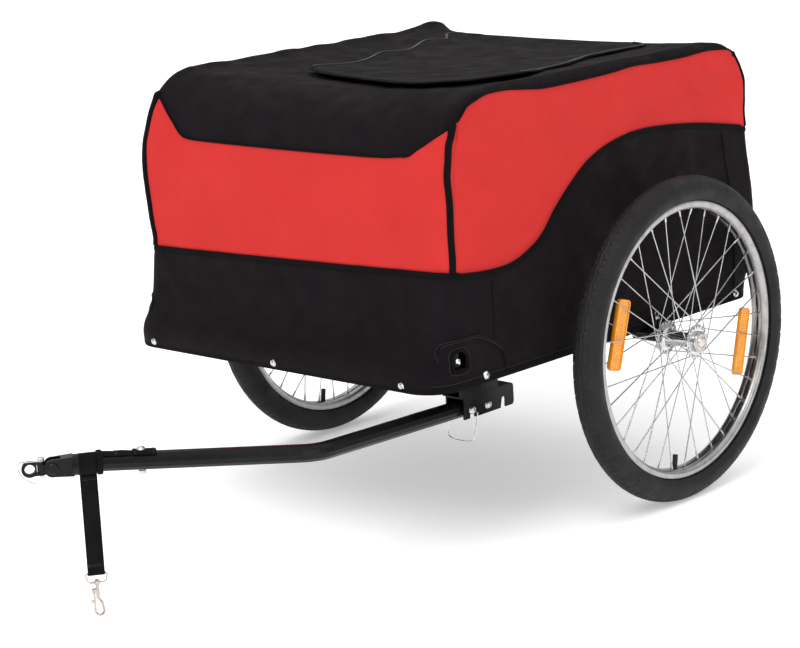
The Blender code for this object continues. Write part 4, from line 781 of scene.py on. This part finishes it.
def strip(
    name, line, out, width, height, material, body, slot, side=None, crown=0.0006, closed=False, bend=None
):
    """A tape that follows a line on the cloth: out points away from it, width lies across."""
    line, out = np.array(line), np.array(out)
    if side is None:
        side = sideways(line, out, closed)
    half = ((0.5, 0.0), (0.46, 0.8), (0.25, 1.0))
    section = [(-a, b) for a, b in half] + [(0.0, 1.0 + crown / height)] + list(reversed(half))
    rows = [line + side * width * a + out * height * b for a, b in section]
    if bend:
        # The tape's sides fold back round a corner of that radius
        rows = [
            row - out * ((width * a) ** 2 / (2.0 * bend) + 0.0005)
            for row, (a, b) in zip(rows, section)
        ]
    mesh = grid_mesh(name, np.stack(rows, axis=0), closed=closed)
    return finished(name, mesh, [material], body, smooth=60.0)


def evenly(line, gap):
    """Spots and directions every gap metres along a line."""
    line = np.array(line)
    run = lengths(line, 0)
    marks = np.arange(gap / 2.0, run[-1], gap)
    spots, after = (
        np.stack([np.interp(places, run, line[:, axis]) for axis in range(3)], axis=1)
        for places in (marks, marks + 0.0005)
    )
    good = np.linalg.norm(after - spots, axis=1) > 1e-7
    return spots[good], unit(after - spots)[good]


THREAD_R = 0.00035


def stitches(name, rows, body, slot, pitch=0.0040, length=0.0028):
    """Rows of short threads lying along lines."""
    runs = []
    for line in rows:
        for spot, ahead in zip(*evenly(line, pitch)):
            reach = ahead * length / 2
            runs.append((spot - reach, spot + reach, THREAD_R, THREAD_R))
    return rods(name, runs, THREAD_GREY, body, slot, sides=5)


# Widths and heights of the tapes
PATCH_TAPE = (0.0050, 0.0011)
WINDOW_TAPE = (0.0042, 0.0014)
SEAM_TAPE = (0.0034, 0.0009)
LOWER_TAPE = (0.0090, 0.0016)
LOWER_TAPE_DROP = 0.0042
PIPING = (0.0030, 0.0018)
FLAP_TAPE = (0.0090, 0.0018)
HEM_TAPE_H = 0.0009
# Edge of the doubled corner, and the seams up the sides, as (Y, Z)
PATCH_EDGE = (
    (-0.4640, 0.3030), (-0.4560, 0.3200), (-0.4440, 0.3270), (-0.4200, 0.3290), (-0.3960, 0.3270),
    (-0.3760, 0.3180), (-0.3560, 0.3060), (-0.3440, 0.2900), (-0.3420, 0.2700),
)
SIDE_SEAMS = (
    ((-0.359, 0.398), (-0.360, 0.370), (-0.362, 0.340), (-0.363, 0.312)),
    ((0.198, 0.525), (0.204, 0.488), (0.209, 0.451), (0.212, 0.400), (0.214, 0.330), (0.214, 0.280)),
)


def make_corner_patch(side, label):
    """Doubled cloth round a front corner's window, with its binding and stitches."""
    edge = through(PATCH_EDGE, 5)
    line, out = on_wall(edge, side, 0.0006)
    made = [strip("patch_edge_" + label, line, out, *PATCH_TAPE, TAPE, *TUB)]
    rows = [on_wall(edge + np.array((0.0, step)), side, 0.0016)[0] for step in (0.0014, -0.0014)]
    line, out = on_wall(through(window_outline(0.0022), 3, closed=True), side, 0.0004)
    name = "window_binding_" + label
    made.append(strip(name, line, out, *WINDOW_TAPE, TAPE, *TUB, closed=True))
    rows.append(on_wall(through(window_outline(0.0060), 3, closed=True), side, 0.0010)[0])
    for number, seam in enumerate(SIDE_SEAMS):
        line, out = on_wall(through(seam, 6), side, 0.0002)
        place = "side_seam_%d_%s" % (number + 1, label)
        made.append(strip(place, line, out, *SEAM_TAPE, BLACK_CLOTH, *TUB))
    return made + [stitches("corner_stitches_" + label, rows, *TUB)]


def hem_stitches():
    hem = BODY[0] + UP * (HEM + 0.0002) + NORMALS[0] * 0.0010
    return stitches("hem_stitches", [np.concatenate([hem, hem[:1]])], *TUB)


def hem_tape():
    line = BODY[0] + UP * (HEM / 2.0 + 0.0005)
    flat = unit(NORMALS[0] * np.array((1.0, 1.0, 0.0)))
    up = np.tile(UP, (len(line), 1))
    return strip("tub_hem", line, flat, HEM, HEM_TAPE_H, TAPE, *TUB, up, crown=0.0002, closed=True)


def lower_tape():
    # The flat tape under the cover's lower edge, all the way round
    line, out = BODY[TUB_ROWS], NORMALS[TUB_ROWS]
    line = line + sideways(line, out, closed=True) * LOWER_TAPE_DROP
    return strip("cover_lower_tape", line, out, *LOWER_TAPE, TAPE, *COVER, closed=True)


def border_tape():
    line, out = BODY[TUB_ROWS + RED_ROWS], NORMALS[TUB_ROWS + RED_ROWS]
    return strip("roof_panel_piping", line, out, *PIPING, TAPE, *COVER, closed=True)


CORNER_TAPE_H = 0.0034
KNOT_W, KNOT_H, KNOT_L = 0.5, 0.0015, 0.09
TAPE_END_SUNK, TAPE_END_L = 0.0048, 0.03
TAPE_LONG_WAVE, TAPE_SHORT_WAVE = 0.0011, 0.0006


def corner_tape(name, segment, width, share=0.5, extra=0.0, bend=0.015):
    """A tape up a corner, a little wavy, with a knotted upper end that sinks into the cloth."""
    column = sum(COLUMN_COUNTS[:segment]) + round(COLUMN_COUNTS[segment] * share)
    rows = slice(TUB_ROWS, TUB_ROWS + RED_ROWS + 2)
    line, out = BODY[rows, column], NORMALS[rows, column]
    steps = np.linspace(0, 1, len(line))
    wave = TAPE_LONG_WAVE * np.sin(steps * 9.0) + TAPE_SHORT_WAVE * np.sin(steps * 23.0 + 1.0)
    sunk = TAPE_END_SUNK * bell(steps, 1.0, TAPE_END_L)
    line = line + sideways(line, out) * wave[:, None] + out * (extra - sunk)[:, None]
    knot = bell(steps, 1.0, KNOT_L)[:, None]
    width, height = width * (1.0 + KNOT_W * knot), CORNER_TAPE_H + KNOT_H * knot
    return strip(name, line, out, width, height, TAPE, *COVER, bend=bend)


FLAP_RINGS = 16
FLAP_LIFT, LIP_LIFT = 0.0022, 0.0055
ZIP_PITCH, ZIP_HALF_W, ZIP_R, ZIP_LIFT = 0.0021, 0.0022, 0.0006, 0.0026
ZIPS_FROM_Y = -0.235
ZIP_FAR_X, ZIP_NEAR_X = -0.13, 0.15
FLAP_STITCH_LIFT = 0.0024


def flap_grid():
    """Rings from the middle to the edge, lifted at the front lip."""
    edge = through(FLAP_EDGE, 7, closed=True)
    rings = []
    for step in range(FLAP_RINGS + 1):
        share = 1.0 - step / FLAP_RINGS
        x, y = (FLAP_MIDDLE + (edge - FLAP_MIDDLE) * max(share, 0.02)).T
        lip = smooth_step((-0.13 - y) / 0.14) * smooth_step((share - 0.5) / 0.5)
        z = ROOF_TOP - roof_dip(x, y) + FLAP_LIFT + LIP_LIFT * lip
        rings.append(np.stack([x, y, z], axis=-1))
    points = np.array(rings[::-1])
    out = -normals_of(points)
    out = np.where(out[..., 2:3] < 0, -out, out)
    push = sum(height * drift(points, scale, seed) for height, scale, seed in FLAP_WAVES)
    return points + out * push[..., None]


def make_flap():
    points = flap_grid()
    rim = points[-1]
    middle_ring = list(reversed(range(len(rim))))
    piece = cloth_piece("cloth_flap", points, [BLACK_CLOTH], *FLAP, rings=[middle_ring])
    up = np.tile(UP, (len(rim), 1))
    tape = strip("flap_edge_tape", rim, up, *FLAP_TAPE, TAPE, *FLAP, closed=True)
    seam = points[-2] * 0.75 + rim * 0.25 + UP * FLAP_STITCH_LIFT
    sewn = stitches("flap_stitches", [seam], *FLAP)
    coils = []
    for keep in (rim[:, 0] < ZIP_FAR_X, rim[:, 0] > ZIP_NEAR_X):
        side_line = rim[keep & (rim[:, 1] > ZIPS_FROM_Y)]
        side_line = side_line[np.argsort(side_line[:, 1])]
        for spot, ahead in zip(*evenly(side_line + UP * ZIP_LIFT, ZIP_PITCH)):
            across = np.cross(ahead, UP) * ZIP_HALF_W
            coils.append((spot - across, spot + across, ZIP_R, ZIP_R))
    return piece, [tape, sewn, rods("zip_coils", coils, ZIP_COIL, *FLAP, sides=6)]


tub = cloth_piece("cloth_tub", TUB_GRID, [BLACK_CLOTH], *TUB)
for side in (1, -1):
    make_window(side, tub)
cover = cloth_piece("cloth_cover", COVER_GRID, [RED_CLOTH, BLACK_CLOTH], *COVER, RED_ROWS)
cover_trim = [
    lower_tape(),
    border_tape(),
    corner_tape("corner_tape_front_left", FRONT_NEAR, 0.010),
    corner_tape("corner_tape_front_right", FRONT_FAR, 0.014, 0.72, 0.0006),
    corner_tape("corner_tape_rear_left", REAR_NEAR, 0.012, 0.5, 0.0006, 0.0125),
    corner_tape("corner_tape_rear_right", REAR_FAR, 0.012, 0.5, 0.0, 0.0125),
]
tub_trim = [hem_tape()] + make_corner_patch(1, "left") + make_corner_patch(-1, "right")
tub_trim.append(hem_stitches())
flap, flap_trim = make_flap()


# Wheels
TYRE_R = 0.2470
SECTION_R = 0.0218
SECTION_CENTRE = TYRE_R - SECTION_R
RIM_R = 0.2100
RIM_INNER_R = 0.1970
RIM_HALF_W = 0.0145
BEAD_R = RIM_R + 0.0012
SPOKES = 18
SPOKE_CROSS = math.radians(60.0)
SPOKE_R = 0.0010
# Shifts along the axle from a flange's middle: the spoke's inner end, its bend and its head
SPOKE_SHIFTS = (-0.0022, 0.0015 + SPOKE_R, -0.0030)
RIM_SHIFT = 0.0012
NIPPLE_L = 0.0110
NIPPLE_RADII = (0.0021, 0.0017)
HEAD_RADII = (0.0019, 0.0013)
FLANGE_R = 0.0260
FLANGE_HOLE_R = 0.0222
FLANGE_X = 0.0275


def wheel_spot(side, along_axle, radius, angle):
    """A point of a wheel: angle 0 points back, and 90 degrees up."""
    return np.array(
        (side * (WHEEL_X + along_axle), radius * math.cos(angle), AXLE_Z + radius * math.sin(angle))
    )


def turned_piece(
    name, profile, side, steps, material, body, stands_for=(), dent=None, smooth=40.0
):
    """Turns a profile of (radius, along axle) spots about the axle."""
    profile = np.array(profile)
    angles = np.linspace(0.0, math.tau, steps, endpoint=False)
    radius, across = (np.repeat(profile[:, axis][:, None], steps, axis=1) for axis in (0, 1))
    if dent is not None:
        radius = radius - dent(profile, angles)
    spots = [side * (WHEEL_X + across), radius * np.cos(angles), AXLE_Z + radius * np.sin(angles)]
    points = np.stack(spots, axis=-1)
    if side < 0:
        points = points[::-1]
    mesh = grid_mesh(name, points, closed=True)
    return finished(name, mesh, [material], body, stands_for, smooth)


def mirrored(profile, shared=0):
    """A half profile and its mirror image, less the spots at its end that both share."""
    far = [(radius, -across) for radius, across in reversed(profile[: len(profile) - shared])]
    return list(profile) + far


def tyre_profile():
    lip = math.acos((BEAD_R - SECTION_CENTRE) / SECTION_R)
    return [
        (SECTION_CENTRE + SECTION_R * math.cos(a), -SECTION_R * math.sin(a))
        for a in np.linspace(-lip, lip, 97)
    ]


# Tread: degrees are counted round the tyre's section from its middle
TREAD_BLOCKS = 63
STEPS_PER_BLOCK = 12
GROOVE = 0.0016
TREAD_LINES = (11.0, 33.0)
ZIGZAG = 2.5
STEP_FROM, STEP_TO = 50.0, 76.0
SIDEWALL_LINE = 88.0
LIP_FROM, LIP_RUN = 96.0, 14.0


def tread_dent(profile, angles):
    """Depth of the grooves and of the stepped shoulder under the tyre's round outline."""
    tilt = np.degrees(np.arctan2(profile[:, 1], profile[:, 0] - SECTION_CENTRE))[:, None]
    depth = np.zeros((len(profile), len(angles)))
    for sign in (1, -1):
        side = tilt * sign
        phase = (angles * TREAD_BLOCKS / math.tau + (0.5 if sign > 0 else 0.0)) % 1.0
        edge = STEP_FROM + (STEP_TO - STEP_FROM) * phase[None, :]
        step = 0.5 * smooth_step((side - edge) / 3.0)
        apart = np.minimum(phase, 1.0 - phase)[None, :]
        cut_line = bell(apart, 0.0, 0.055) * (side > TREAD_LINES[1]) * (side < STEP_TO)
        rows = np.zeros_like(depth)
        for number, line in enumerate(TREAD_LINES):
            turn = np.sign(np.sin(math.tau * (phase + 0.25 * number)))[None, :]
            rows = np.maximum(rows, bell(side, line + ZIGZAG * turn, 1.8))
        half = np.abs((2.0 * phase + 0.5) % 1.0 - 0.5)[None, :]
        between = (side < TREAD_LINES[1]) * (side > TREAD_LINES[0])
        rows = np.maximum(rows, bell(half, 0.0, 0.07) * between)
        found = np.maximum(np.maximum(bell(side, edge, 2.2), cut_line), rows) * 0.8 + step
        depth = np.where(side >= 0.0, found, depth)
    lip = 1.0 - smooth_step((np.abs(tilt) - LIP_FROM) / LIP_RUN)
    wall = 0.25 * bell(np.abs(tilt), SIDEWALL_LINE, 2.5)
    return GROOVE * (depth * lip + wall)


RIM_PROFILE = (
    (RIM_INNER_R + 0.0020, 0.0),
    (RIM_INNER_R, 0.0050),
    (RIM_INNER_R + 0.0006, 0.0088),
    (RIM_INNER_R + 0.0032, 0.0128),
    (RIM_INNER_R + 0.0056, 0.0142),
    (RIM_R - 0.0006, RIM_HALF_W),
    (RIM_R, RIM_HALF_W - 0.0004),
    (RIM_R, RIM_HALF_W - 0.0016),
    (RIM_INNER_R + 0.0036, RIM_HALF_W - 0.0022),
    (RIM_INNER_R + 0.0030, 0.0),
)
HUB_PROFILE = (
    (0.0064, 0.0360), (0.0135, 0.0360), (0.0155, 0.0350), (0.0160, 0.0335), (0.0160, 0.0292),
    (0.0250, 0.0290), (FLANGE_R, 0.0283), (FLANGE_R, 0.0267), (0.0250, 0.0260), (0.0165, 0.0256),
    (0.0130, 0.0235), (0.0115, 0.0195), (0.0112, 0.0),
)
DUST_RING = (
    (0.0100, 0.0358), (0.0104, 0.0368), (0.0138, 0.0368), (0.0146, 0.0362), (0.0148, 0.0354),
)
SCALLOP, SCALLOP_FROM_R = 0.0011, 0.0240


def scallops(profile, angles):
    """Small bites in the flanges' edges, between the spokes."""
    edge = smooth_step((profile[:, 0] - SCALLOP_FROM_R) / 0.0015)
    bite = (0.5 + 0.5 * np.cos(angles * SPOKES)) ** 2
    return SCALLOP * edge[:, None] * bite[None, :]


def make_spokes(side, body, hub_node):
    """Spokes from bent ends in the flanges to nipples in the rim, crossed in pairs."""
    spokes, nipples, heads = [], [], []
    gap = math.tau / SPOKES
    for flange in (1, -1):
        for index in range(SPOKES):
            lead = 1 if index % 2 == 0 else -1
            at_hub = index * gap + (0.0 if flange == 1 else gap / 2.0)
            # Counted from straight down, as in the CAD
            first, last = at_hub - math.pi / 2.0, at_hub + lead * SPOKE_CROSS - math.pi / 2.0
            inner, bend, head = (
                wheel_spot(side, flange * FLANGE_X + lead * shift, FLANGE_HOLE_R, first)
                for shift in SPOKE_SHIFTS
            )
            rim_end = wheel_spot(side, lead * RIM_SHIFT, RIM_INNER_R + 0.001, last)
            spokes.append((inner, bend, SPOKE_R, SPOKE_R))
            spokes.append((bend, rim_end, SPOKE_R, SPOKE_R))
            inward = unit(bend - rim_end) * NIPPLE_L
            nipples.append((rim_end, rim_end + inward, *NIPPLE_RADII))
            heads.append((inner, head, *HEAD_RADII))
    rods(body + "_spokes", spokes, SPOKE_STEEL, body, hub_node, [hub_node])
    rods(body + "_nipples", nipples, ZINC, body, hub_node, sides=10)
    rods(body + "_spoke_heads", heads, SPOKE_STEEL, body, hub_node, sides=10)


def make_wheel(side, label):
    body = "wheel_" + label
    hub = body + "_laced_hub"
    steps = TREAD_BLOCKS * STEPS_PER_BLOCK
    tyre, rim = [body + "_tyre"], [body + "_rim"]
    profile = tyre_profile()
    turned_piece(
        body + "_tread", profile, side, steps, TYRE_RUBBER, body, tyre, dent=tread_dent, smooth=50.0
    )
    turned_piece(body + "_rim_bed", mirrored(RIM_PROFILE), side, 180, ALLOY, body, rim)
    shell = mirrored(HUB_PROFILE, shared=1)
    turned_piece(body + "_hub_shell", shell, side, 144, CHROME, body, dent=scallops)
    for face in (1, -1):
        ring = [(radius, face * across) for radius, across in DUST_RING][::face]
        turned_piece(body + "_dust_ring", ring, side, 60, NICKEL, body)
    make_spokes(side, body, hub)


# Reflectors: a lens with a raised rim round its prisms, on the spokes
def node_axes(node):
    """Middle, directions (long, wide, thin) and half sizes of a node's mesh, from the axle line."""
    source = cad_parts[node]
    spots = np.array([tuple(source.matrix_world @ v.co - AXLE) for v in source.data.vertices])
    centre = (spots.min(axis=0) + spots.max(axis=0)) / 2.0
    _, _, axes = np.linalg.svd(spots - centre, full_matrices=False)
    reach = [(((spots - centre) @ axis).min(), ((spots - centre) @ axis).max()) for axis in axes]
    centre = centre + sum(axis * (a + b) / 2.0 for axis, (a, b) in zip(axes, reach))
    axes[2] = np.cross(axes[0], axes[1])
    return centre, axes, [(b - a) / 2.0 for a, b in reach]


# From the face inwards: how far the outline is set in, and the share of the half thickness
LENS_LOOPS = ((0.0, 0.55), (0.0007, 0.95), (0.0016, 1.0), (0.0024, 0.95), (0.0028, 0.55))
LENS_CORNER = 0.45
PRISM_ROWS, PRISM_COLUMNS = 26, 5
PRISM_H, PRISM_R, PRISM_TIP_R = 0.0007, 0.0019, 0.0003


def make_reflector(node, body):
    centre, (long, wide, thin), (half_l, half_w, half_t) = node_axes(node)
    corner = half_w * LENS_CORNER
    turns = np.radians([90 * quarter + 15 * step for quarter in range(4) for step in range(7)])
    right, up = np.repeat(((1, -1, -1, 1), (1, 1, -1, -1)), 7, axis=1)
    loops = [(inset, -share) for inset, share in reversed(LENS_LOOPS)] + list(LENS_LOOPS)
    rings = []
    for inset, share in loops:
        u = right * (half_l - corner) + (corner - inset) * np.cos(turns)
        v = up * (half_w - corner) + (corner - inset) * np.sin(turns)
        rings.append(centre + np.outer(u, long) + np.outer(v, wide) + thin * share * half_t)
    mesh = grid_mesh("lens", np.array(rings), closed=True)
    count, last = len(rings[0]), (len(rings) - 1) * len(rings[0])
    capped(mesh, (range(count - 1, -1, -1), range(last, last + count)))
    finished(node + "_lens", mesh, [AMBER], body, [node])
    prisms = []
    for face in (1, -1):
        base = centre + thin * face * half_t * LENS_LOOPS[-1][1]
        for a in np.linspace(-half_l + 0.006, half_l - 0.006, PRISM_ROWS):
            for b in np.linspace(-half_w + 0.0055, half_w - 0.0055, PRISM_COLUMNS):
                spot = base + long * a + wide * b
                prisms.append((spot, spot + thin * face * PRISM_H, PRISM_R, PRISM_TIP_R))
    rods(node + "_prisms", prisms, AMBER, body, node, sides=6)


for label, side in (("left", 1), ("right", -1)):
    make_wheel(side, label)
for label in ("left", "right"):
    for place in ("front", "rear"):
        make_reflector("wheel_%s_reflector_%s" % (label, place), "wheel_" + label)


# Webbing at the hitch: the safety strap's loop, and its end doubled along the bar
BAR_R = 0.0130
BAR_END = np.array((0.0450, -0.9110, 0.2255))
AHEAD = np.array((-0.58123, -0.81373, 0.0))
BESIDE = np.array((0.81373, -0.58123, 0.0))
LEVEL_L = 0.034
SLOPE = 0.06487
WEB_T = 0.0012
WEB_STITCH = (0.0030, 0.0021)


def bar_spot(ahead, angle=0.0, out=0.0):
    """A place on the tow bar near its end: angle 0 is beside it, and 90 degrees is on top."""
    drop = SLOPE * np.maximum(-ahead - LEVEL_L, 0.0)
    radius = BAR_R + out
    around = BESIDE * radius * math.cos(angle) + UP * (radius * math.sin(angle) - drop)
    return BAR_END + AHEAD * ahead + around


def webbing(name, rows, body, slot, stands_for=()):
    mesh = grid_mesh(name, np.array(rows))
    piece = finished(name, mesh, [WEBBING], body, stands_for, 60.0)
    return thicken(piece, WEB_T, 0.0)


STRAP_AHEAD = -0.0165
STRAP_W = 0.0230
STRAP_LOOP_Z = 0.0715
STRAP_TOP = 0.0155
STRAP_EYE_R = 0.0024
STRAP_HALF_GAP, STRAP_SPREAD = 0.00068, 0.0009
STRAP_BOW = 0.0010
STRAP_SEAMS = (STRAP_LOOP_Z + 0.0100, STRAP_LOOP_Z + 0.0125, 0.2055, 0.2030)


def strap_path(drop):
    """The doubled strap seen along the bar: round the bar, down, round the ring and up."""
    loop_r = BAR_R + 0.0011
    bar_turn = np.radians(np.linspace(-84.0, 264.0, 60))
    path = [(loop_r * math.cos(a), loop_r * math.sin(a)) for a in bar_turn]
    shares = np.linspace(0.0, 1.0, 46)[1:-1]
    for side, order in ((-1, shares), (1, shares[::-1])):
        for share in order:
            wide = STRAP_HALF_GAP + STRAP_SPREAD * math.exp(-share * 18.0)
            path.append((side * wide, -STRAP_TOP - (drop - STRAP_TOP - 0.0032) * share))
        if side < 0:
            for a in np.radians(np.linspace(118.0, 422.0, 26)):
                path.append((STRAP_EYE_R * math.cos(a), -drop + STRAP_EYE_R * math.sin(a)))
    return np.array(path)


def make_strap():
    path = strap_path(BAR_END[2] - STRAP_LOOP_Z)
    bow = STRAP_BOW * half_wave(-path[:, 1], 0.02, 0.13)
    centre = BAR_END + AHEAD * STRAP_AHEAD
    rows = []
    for (across, up), sway in zip(path, bow):
        spot = centre + BESIDE * (across + sway) + UP * up
        rows.append([spot + AHEAD * STRAP_W * share for share in np.linspace(-0.5, 0.5, 9)])
    rows.append(rows[0])
    strap = webbing("strap_web", rows, "safety_strap", "safety_strap", ["safety_strap"])
    lines = []
    for up in STRAP_SEAMS:
        for face in (1, -1):
            start = np.array((centre[0], centre[1], up)) + BESIDE * face * 0.0016
            lines.append(np.array([start - AHEAD * 0.0098, start + AHEAD * 0.0098]))
    sewn = stitches("strap_stitches", lines, "safety_strap", "safety_strap", *WEB_STITCH)


ANCHOR = ("tow_bar", "strap_anchor")
ANCHOR_FROM, ANCHOR_L, ANCHOR_FOLD_L = -0.0310, 0.0770, 0.0300
ANCHOR_REAR = ANCHOR_FROM - ANCHOR_L
ANCHOR_ARC, SEAM_ARC = (134, 46, 15), (130, 50, 12)
LAYER_OUT, FOLD_R = 0.0010, 0.0008
LOW_SEAMS = (0.0020, (-0.0330, -0.0350, -0.0540, -0.0560))
TOP_SEAMS = (0.0036, (-0.0800, -0.1050))


def make_second_wrap():
    # The webbing's next turn, just behind the loop
    rows = []
    for a in np.linspace(0.0, math.tau, 49):
        rows.append([
            bar_spot(-0.0290 - 0.0070 * share, a, 0.0026 + 0.0007 * math.sin(share * math.pi))
            for share in np.linspace(0, 1, 7)
        ])
    return webbing("second_wrap", rows, *ANCHOR)


def over_bar(ahead, out, start, end, count):
    """Places across the top of the bar, between two angles in degrees."""
    return [bar_spot(ahead, math.radians(a), out) for a in np.linspace(start, end, count)]


def make_anchor():
    places = []
    for share in np.linspace(0.0, 1.0, 40):
        pucker = 0.0004 * math.sin(share * 19.0) * math.sin(share * math.pi)
        places.append((ANCHOR_FROM - ANCHOR_L * share, LAYER_OUT + pucker))
    for a in np.linspace(0.0, math.pi, 7)[1:]:
        out = LAYER_OUT + FOLD_R * (1.0 - math.cos(a))
        places.append((ANCHOR_REAR - FOLD_R * math.sin(a), out))
    for share in np.linspace(0.0, 1.0, 14)[1:]:
        places.append((ANCHOR_REAR + ANCHOR_FOLD_L * share, 0.0026 - 0.0002 * share))
    rows = [over_bar(ahead, out, *ANCHOR_ARC) for ahead, out in places]
    anchor = webbing("anchor_web", rows, *ANCHOR, ["strap_anchor"])
    lines = [
        np.array(over_bar(ahead, out, *SEAM_ARC))
        for out, places_ahead in (LOW_SEAMS, TOP_SEAMS)
        for ahead in places_ahead
    ]
    sewn = stitches("anchor_stitches", lines, *ANCHOR, *WEB_STITCH)
    wrap = make_second_wrap()


make_strap()
make_anchor()


# Finishes of the plain solids, by words in their names. The first that fits is used
FINISHES = (
    (CHROME, ("screw", "foot_bolt")),
    (NICKEL, ("snap_hook", "strap_ring")),
    (CHROME, ("ring", "plunger")),
    (ZINC, ("axle_left", "axle_right", "pivot", "lock_pin", "hitch_pin", "strap_bolt", "strap_nut")),
    (VALVE_RUBBER, ("inner_tube",)),
    (BOARD, ("floor_panel",)),
    (PAINT, ("",)),
)
for node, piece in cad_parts.items():
    if not piece.hide_render:
        chosen = next(look for look, words in FINISHES if any(word in node for word in words))
        for slot in piece.material_slots:
            slot.material = chosen


# Floor, sky and lamps
FLOOR_HALF = 60.0
FLOOR_GLOW = 0.30
# Brightness from the sky's low end to its high end, and the directions' Z there
SKY = (0.10, 1.05, -0.25, 0.75)


def make_stage():
    white = (1.0, 1.0, 1.0, 1.0)
    look = Look(
        "pale_floor", (0.96, 0.96, 0.96), 0.6, emission_color=white, emission_strength=FLOOR_GLOW
    )
    look.mottled(look.place(), (0.95, 0.95, 0.952), scale=3.0)
    size = FLOOR_HALF
    mesh = bpy.data.meshes.new("floor")
    corners = [(-size, -size, 0), (size, -size, 0), (size, size, 0), (-size, size, 0)]
    mesh.from_pydata(corners, [], [(0, 1, 2, 3)])
    mesh.materials.append(look.done())
    linked("floor", mesh)
    world = bpy.data.worlds.new("studio")
    sky = Nodes(world)
    split = sky.add("SeparateXYZ", Vector=sky.add("TexCoord").outputs["Generated"])
    shade = sky.ranged(split.outputs["Z"], *SKY)
    sky.links.new(shade, sky.nodes["Background"].inputs["Color"])
    bpy.context.scene.world = world
    bpy.context.scene.view_settings.view_transform = "Standard"


# Name, kind, place, aim, energy, and the sun's angle or the panel's sides
LAMPS = (
    ("sun", "SUN", (0.6, -2.4, 4.0), (0.0, 0.0, 0.3), 1.12, math.radians(36)),
    ("front_box", "AREA", (0.2, -3.6, 1.9), (0.0, -0.2, 0.4), 10.5, (2.6, 1.6)),
    ("side_box", "AREA", (3.6, -0.9, 1.7), (0.1, 0.0, 0.4), 20.0, (2.4, 1.6)),
    ("top_box", "AREA", (-0.5, 0.6, 3.4), (0.0, 0.0, 0.6), 4.0, (2.2, 2.2)),
)


def make_lamp(name, kind, spot, aim, energy, size):
    data = bpy.data.lights.new(name, kind)
    data.energy = energy
    if kind == "AREA":
        data.shape = "RECTANGLE"
        data.size, data.size_y = size
    else:
        data.angle = size
    lamp = linked(name, data)
    lamp.location = Vector(spot) + AXLE
    lamp.rotation_mode = "QUATERNION"
    lamp.rotation_quaternion = (Vector(aim) - Vector(spot)).to_track_quat("-Z", "Y")


make_stage()
for lamp in LAMPS:
    make_lamp(*lamp)
